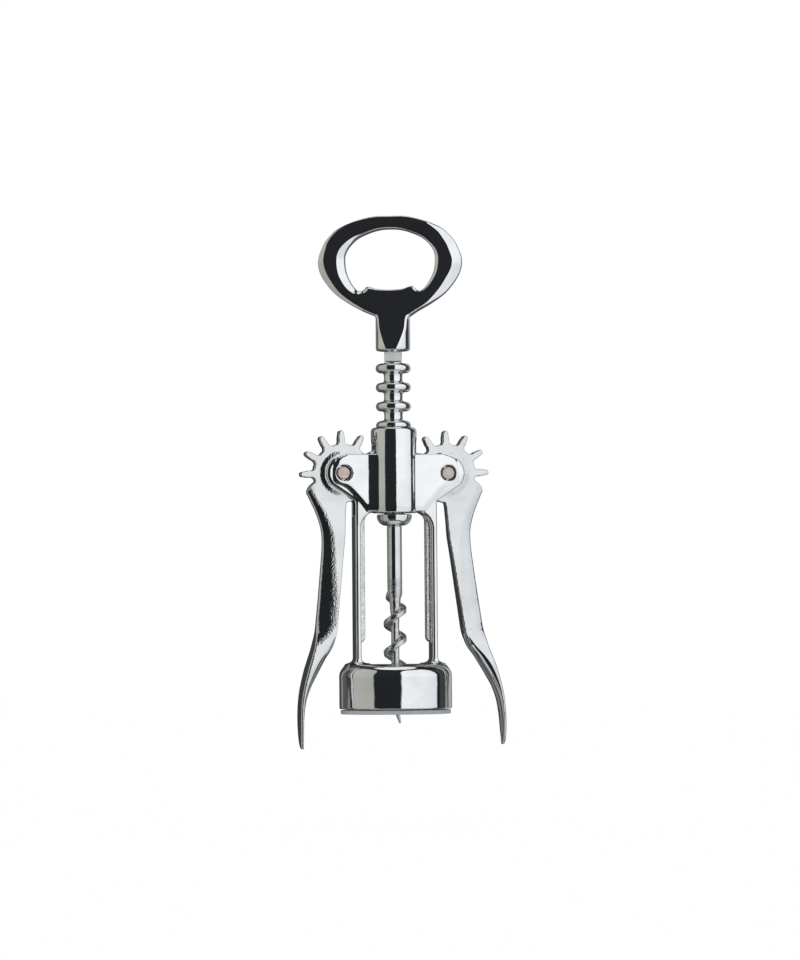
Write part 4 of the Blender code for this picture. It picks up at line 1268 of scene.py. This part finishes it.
@dataclass
class Lever:
    """One lever: toothed hub, hook, arm and thumb pad. The left one is the right one mirrored."""

    side: Side
    finish: Chrome
    drop: float = 90.5
    reach: float = 19.47
    thickness: float = 3.6
    knee_drop: float = 53.0
    knee_thickness: float = 7.5
    arm_width: float = 6.8
    pad_width: float = 9.5
    tip_thickness: float = 1.1
    end_width: float = 1.2
    tooth_count: int = 7
    spacing: float = 30.0
    tip_radius: float = 14.297
    root_radius: float = 9.797
    tip_width: float = 1.75
    root_width: float = 2.3
    hook_length: float = 3.7
    bore: float = 2.4
    crown_slope: float = 0.73
    boss_radius: float = 7.8
    boss_top: float = 6.0
    boss_rise: float = 0.5
    cell: float = 0.29
    flat_shares: tuple = (
        (4.0, 8.0, 12.2, 18.8, 28.8, 42.2, 50.0, 53.0, 56.0),
        (0.8, 0.78, 0.66, 0.46, 0.26, -0.03, -0.06, 0.2, 0.5),
    )
    arm_shares: tuple = (
        (0.113, 0.62, 1.9), (0.145, 0.594, 1.83), (0.18, 0.557, 1.71), (0.223, 0.508, 1.52),
        (0.285, 0.456, 1.32), (0.34, 0.423, 1.19), (0.4, 0.413, 1.12), (0.48, 0.428, 1.06),
        (0.57, 0.46, 1.04), (0.72, 0.518, 1.03), (0.86, 0.574, 1.02),
    )
    pad_shares: tuple = (
        (0.0, 0.63, 1.03, 0.96, 0.0), (0.06, 0.656, 1.05, 0.78, 0.06),
        (0.13, 0.693, 0.98, 0.62, 0.36), (0.21, 0.75, 0.79, 0.44, 0.78),
        (0.29, 0.808, 0.66, 0.3, 1.0), (0.38, 0.864, 0.49, 0.25, 0.93),
        (0.48, 0.918, 0.3, 0.28, 0.75), (0.6, 0.962, 0.15, 0.35, 0.52),
        (0.74, 0.987, 0.07, 0.45, 0.22), (0.86, 0.996, 0.04, 0.5, -0.12),
        (0.94, 0.997, 0.02, 0.5, -0.42), (0.985, 0.99, 0.0, 0.5, -0.72),
        (1.0, 0.98, 0.0, 0.5, -1.0),
    )
    hook_shares: tuple = (
        (0.12, 0.45), (0.28, 0.86), (0.4, 1.0), (0.56, 0.98), (0.74, 0.72), (0.95, 0.24),
        (1.1, 0.0),
    )

    def stations(self) -> Array:
        """Drop, outer edge, inner edge, half width and flat share of the arm and pad, as smooth rows."""
        rows = []
        thin = self.thickness
        for share, outer, width in self.arm_shares:
            growth = max(share - 0.2, 0.0) / 0.8
            half = (thin + (self.knee_thickness - thin) * growth) / 2
            rows.append((share * self.knee_drop, outer * self.reach, width * self.arm_width, half, 1.0))
        for share, outer, deep, flat, wide in self.pad_shares:
            place = self.knee_drop + (self.drop - self.knee_drop) * share
            depth = self.tip_thickness + (self.arm_width - self.tip_thickness) * deep
            spare = self.pad_width - self.knee_thickness
            if wide < 0:
                spare = self.knee_thickness - self.end_width
            rows.append((place, outer * self.reach, depth, (self.knee_thickness + spare * wide) / 2, flat))
        table = smooth_curve(np.array(rows), 8)
        table[:, 2] = table[:, 1] - table[:, 2]
        return table

    def gear_outline(self) -> Array:
        """Teeth, hook and hub, clockwise from the tooth that points at the rack."""
        half_tip, half_root = self.tip_width / 2, self.root_width / 2
        height = self.tip_radius - self.root_radius
        flank = self.root_radius + height * 0.42
        middle = -math.radians(self.spacing / 2)
        gullet = self.root_radius * np.array([math.cos(middle), math.sin(middle)])
        root = np.array([self.root_radius, -half_root])
        here = np.array([flank, -half_root])
        entry = np.array([here + (root - here) * 0.6, root + (gullet - root) * 0.35])
        axis = np.array([math.cos(middle), math.sin(middle)])
        leave = 2 * np.outer(entry @ axis, axis) - entry
        tip = arc((self.tip_radius - half_tip, 0), half_tip, 90, -90, 8)
        tooth = np.concatenate([[(flank, half_root)], tip, [here], entry, [gullet], leave[::-1]])
        angles = np.radians(180 - self.spacing * np.arange(self.tooth_count))
        cosine, sine = np.cos(angles)[:, None], np.sin(angles)[:, None]
        x, z = tooth[:, 0][None, :], tooth[:, 1][None, :]
        teeth = np.stack([x * cosine - z * sine, x * sine + z * cosine], axis=2).reshape(-1, 2)
        end = 180 - self.spacing * (self.tooth_count - 0.5)
        shares = np.array(self.hook_shares)
        hook_angles = np.radians(end - self.spacing * shares[:, 0])
        radii = self.root_radius + self.hook_length * shares[:, 1]
        hook = np.stack([radii * np.cos(hook_angles), radii * np.sin(hook_angles)], axis=1)
        back = arc((0, 0), self.root_radius, end - 2 * self.spacing, self.spacing / 2 - 180, 12)
        return smooth_curve(np.concatenate([teeth[:-2], hook, back]), 3, closed=True)

    def build(self) -> None:
        """Make the lever."""
        table = self.stations()
        outer = table[:, [1, 0]] * (1, -1)
        inner = table[::-1][:, [2, 0]] * (1, -1)
        arm_side, gear = Outline(np.concatenate([outer, inner])), Outline(self.gear_outline(), 0.12)
        lean_cos, lean_sin = math.cos(math.radians(SIZES.play)), math.sin(math.radians(SIZES.play))

        def solid(x: Array, y: Array, z: Array) -> Array:
            """Signed distance of the right lever with its pivot at the origin."""
            depth = np.abs(y)
            along, down = x * lean_cos - z * lean_sin, -(x * lean_sin + z * lean_cos)
            columns = (table[:, number] for number in (3, 1, 2, 4))
            half, rim, heel, level = (np.interp(down, table[:, 0], column) for column in columns)
            flat = np.interp(down, *self.flat_shares)
            across = np.clip((along - heel) / (rim - heel), 0.0, 1.0)
            slope = np.clip((across - flat) / (1 - flat), 0.0, 1.0)
            crown = self.crown_slope * (rim - heel) * (1 - flat) * slope**2.3 / 2.3
            crown = crown * np.interp(down, (3.0, 8.0, 52.0, 57.0), (0.0, 1.0, 1.0, 0.0))
            bulge = np.clip((1 - level - across) / np.maximum(1 - level, 0.02), 0.0, 0.97)
            under = half * (1 - np.sqrt(1 - bulge * bulge))
            pin = np.hypot(x, z)
            boss = np.clip((self.boss_radius - pin) / (self.boss_radius - self.boss_top), 0.0, 1.0)
            boss = self.boss_rise * boss * boss * (3 - 2 * boss)
            edge = np.interp(down, (0.0, 50.0, 62.0, 75.0), (0.36, 0.36, 0.7, 0.6))
            border = join(gear.distance(x, z), arm_side.distance(along, -down), 0.6)
            body = plate(border, (depth - half - boss + crown + under) * 0.95, edge, edge)
            return cut(body, pin - self.bore, 0.3)

        low = (-15.2, -7.8, -self.drop - 1.4)
        high = (self.reach + 1.2, 7.8, 15.2)
        points, quads, normals = solid_mesh(solid, low, high, self.cell)
        if self.side is Side.LEFT:
            points, normals, quads = points * (-1, 1, 1), normals * (-1, 1, 1), quads[:, ::-1]
        turn = turn_matrix(1, -SIZES.play)
        points = at_pivot(points @ turn, self.side)
        name = f"lever_{self.side.word}"
        piece = make_piece(f"{name}_casting", points, quads, self.finish.build(), normals @ turn)
        tilt = self.side.value * normals[:, 0] / np.maximum(np.abs(normals[:, 1]), 0.05)
        crowned = np.interp(tilt, (0.015, 0.07, 0.2, 0.4), (0.0, 1.0, 1.0, 0.1))
        speckle = piece.data.attributes.new(self.finish.grain_mask, "FLOAT", "POINT")
        speckle.data.foreach_set("value", crowned.astype(np.float32))
        dress(piece, name, name)


@dataclass
class PivotPin:
    """A riveted pin with a slightly crowned, unplated end."""

    side: Side
    finish: BareRivet
    radius: float = 2.1
    half_length: float = 4.2

    def build(self) -> None:
        """Make the pin."""
        half, radius = self.half_length, self.radius
        shares = ((0.0, 0.0), (0.5, 0.02), (0.82, 0.05), (0.89, 0.1), (0.93, 0.2), (0.95, 0.5), (1.0, 1.1))
        crown = [(radius * share, half - fall) for share, fall in shares]
        profile = np.array([*crown, *[(r, -h) for r, h in reversed(crown)]])
        points, faces = turned(profile, 64, False)
        points = at_pivot(points @ turn_matrix(0, 90), self.side)
        name = f"pivot_pin_{self.side.word}"
        piece = make_piece(f"{name}_rivet", points, faces, self.finish.build())
        dress(piece, "frame", name)


# Studio


@dataclass
class Studio:
    """Floor, light and camera."""

    azimuth: float = -12.0
    elevation: float = -2.3
    roll: float = -0.45
    distance: float = 1.33
    target_height: float = 0.0659
    target_right: float = 0.002
    pixels_per_metre: float = 3000.0
    floor_drop: float = 0.026
    white_card: tuple[float, float] = (53.0, 41.0)
    beige_card: tuple[float, float] = (-80.0, 35.0)
    corner_drop: float = 17.0
    cards_top: tuple[float, float] = (56.0, 58.0)
    sky_foot: tuple[float, float] = (65.0, 69.0)
    cards_foot: tuple[float, float] = (-34.0, -38.0)
    ground_top: tuple[float, float] = (-58.0, -66.0)
    cards: tuple = (
        (-180, (0.06, 0.06, 0.06)), (-152, (0.05, 0.05, 0.05)), (-143, (0.34, 0.35, 0.35)),
        (-136, (0.12, 0.12, 0.11)), (-117, (0.1, 0.1, 0.09)), (-115, (0.5, 0.51, 0.46)),
        (-46, (0.48, 0.49, 0.44)), (-44, (0.02, 0.021, 0.024)), (11, (0.02, 0.021, 0.024)),
        (13, (1.06, 1.07, 1.08)), (60, (1.0, 1.02, 1.06)), (93, (0.86, 0.9, 0.96)),
        (95, (0.015, 0.015, 0.02)), (101, (0.02, 0.02, 0.02)), (105, (0.06, 0.06, 0.065)),
        (132, (0.05, 0.05, 0.055)), (136, (0.5, 0.51, 0.52)), (160, (0.45, 0.46, 0.47)),
        (167, (0.1, 0.1, 0.1)), (180, (0.06, 0.06, 0.06)),
    )

    def camera(self) -> None:
        """Place the camera where the photograph was taken from."""
        azimuth, elevation = math.radians(self.azimuth), math.radians(self.elevation)
        away = Vector(
            (
                math.sin(azimuth) * math.cos(elevation),
                -math.cos(azimuth) * math.cos(elevation),
                math.sin(elevation),
            )
        )
        right = Vector((math.cos(azimuth), math.sin(azimuth), 0))
        data = bpy.data.cameras.new("camera")
        data.sensor_fit = "VERTICAL"
        data.sensor_height = 36.0
        data.lens = self.pixels_per_metre * self.distance / 960 * 36
        camera = bpy.data.objects.new("camera", data)
        centre = Vector((0, 0, self.target_height)) + right * self.target_right
        camera.location = centre + away * self.distance
        turn = (-away).to_track_quat("-Z", "Y").to_matrix()
        roll = Matrix.Rotation(math.radians(self.roll), 3, "Z")
        camera.rotation_euler = (turn @ roll).to_euler()
        bpy.context.scene.collection.objects.link(camera)
        bpy.context.scene.camera = camera

    def world(self) -> None:
        """Light the scene from all round, and show cards and flags to what mirrors them.

        Angles are counted from the camera's side, positive to its right, and up from level. The
        white and the beige card are each given by their middle and half their width.
        """
        world = bpy.data.worlds.new("studio")
        bpy.context.scene.world = world
        world.use_nodes = True
        graph = Graph(world.node_tree)
        place = graph.node("ShaderNodeTexCoord", output="Generated")
        azimuth = math.radians(self.azimuth)
        front = (math.sin(azimuth), -math.cos(azimuth), 0.0)
        right = (math.cos(azimuth), math.sin(azimuth), 0.0)
        dots = []
        product = {"operation": "DOT_PRODUCT"}
        for axis in (front, right, (0.0, 0.0, 1.0)):
            dots.append(graph.node("ShaderNodeVectorMath", product, {0: place, 1: axis}, "Value"))
        around = dots[1].math("ARCTAN2", dots[0]) * (180 / math.pi)
        height = dots[2].math("ARCSINE") * (180 / math.pi)
        stops = [((angle + 180) / 360, colour) for angle, colour in self.cards]
        cards = graph.node("ShaderNodeValToRGB", {"stops": stops}, {0: around / 360 + 0.5})
        level = 0.86 + 0.14 * height.step(-4, 4)
        cards = graph.node("ShaderNodeVectorMath", {"operation": "SCALE"}, {0: cards, "Scale": level})
        sides = (self.white_card, self.beige_card)
        white, beige = ((around - middle).math("ABSOLUTE") / half for middle, half in sides)
        corner = white.math("MINIMUM", beige).math("POWER", 5.0).math("MINIMUM", 1.0) * self.corner_drop
        colour = graph.mix((height + corner).step(*self.cards_top), cards, (0.02, 0.02, 0.02))
        colour = graph.mix(height.step(*self.sky_foot), colour, (0.95, 0.95, 0.96))
        lower = around.band(-116, -44, 3) * 20 + around.band(13, 94, 3) * 14
        colour = graph.mix((height + lower).step(*self.cards_foot), colour, (0.07, 0.07, 0.07))
        colour = graph.mix(height.step(*self.ground_top), colour, (0.6, 0.61, 0.61))
        rays = ("Is Camera Ray", "Is Glossy Ray")
        seen, glossy = (graph.node("ShaderNodeLightPath", output=name) for name in rays)
        soft = graph.mix(height.step(-30, 60), (0.72, 0.72, 0.72), (1.0, 1.0, 1.0))
        colour = graph.mix(glossy, soft, colour)
        colour = graph.mix(seen, colour, (1.0, 1.0, 1.0))
        background = graph.node("ShaderNodeBackground", {}, {"Color": colour})
        graph.node("ShaderNodeOutputWorld", {}, {"Surface": background})

    def floor(self) -> None:
        """Lay a pale floor far enough below the lever tips that the worm can come down."""
        low = min(corner[2] for corner in CAD_BOX) - self.floor_drop
        size = 3.0
        corners = [(-size, -size, low), (size, -size, low), (size, size, low), (-size, size, low)]
        mesh = bpy.data.meshes.new("floor")
        mesh.from_pydata(corners, [], [(0, 1, 2, 3)])
        floor = bpy.data.objects.new("floor", mesh)
        bpy.context.scene.collection.objects.link(floor)
        material, graph = new_material("pale_floor")
        shader = graph.node(
            "ShaderNodeBsdfPrincipled", {}, {"Base Color": (0.92, 0.92, 0.92, 1), "Roughness": 0.9}
        )
        glow = graph.node("ShaderNodeEmission", {}, {"Color": (1, 1, 1, 1), "Strength": 1.0})
        seen = graph.node("ShaderNodeLightPath", output="Is Camera Ray")
        surface = graph.node("ShaderNodeMixShader", {}, {0: seen * 0.985, 1: shader, 2: glow})
        graph.node("ShaderNodeOutputMaterial", {}, {"Surface": surface})
        mesh.materials.append(material)
        floor.visible_glossy = False

    def build(self) -> None:
        """Set up the studio."""
        bpy.context.scene.view_settings.view_transform = "Standard"
        self.world()
        self.floor()
        self.camera()


def main() -> None:
    """Build and dress every piece, then the studio."""
    logging.basicConfig(level=logging.INFO, format="%(name)s: %(message)s")
    webs = ((9.6, 11.9), (0.0, 1.3), (12.5, 54.0))
    casting = Chrome("chrome_casting_finish", rough_zone=webs)
    polished = Chrome("chrome_handle_finish", wave_height=0.05)
    lathe = Chrome("chrome_rack_finish", wave_height=0.03)
    lever = Chrome(
        "chrome_lever_finish",
        colour=(0.72, 0.74, 0.74),
        tint=(0.66, 0.68, 0.685),
        roughness=0.05,
        grain_size=0.66,
        grain_height=0.17,
        grain_mask="speckle",
    )
    thread = ((0.0, 5.0), (0.0, 5.0), (-16.0, 33.0))
    screw = Chrome(
        "plated_worm_finish",
        colour=(0.80, 0.81, 0.81),
        tint=(0.66, 0.67, 0.68),
        roughness=0.06,
        wave_height=0.02,
        rough_zone=thread,
        rough_height=0.08,
    )
    FrameCasting(casting).build()
    BellInsert(Plastic("pale_plastic_finish", (0.40, 0.42, 0.43), (0.36, 0.38, 0.39))).build()
    RackSleeve(lathe).build()
    HandleBush(Plastic("nylon_finish", (0.66, 0.70, 0.69), (0.60, 0.64, 0.64))).build()
    Worm(screw).build()
    Handle(polished).build()
    for side in Side:
        Lever(side, lever).build()
        PivotPin(side, BareRivet("bare_rivet_finish")).build()
    Studio().build()


if __name__ == "__main__":
    main()
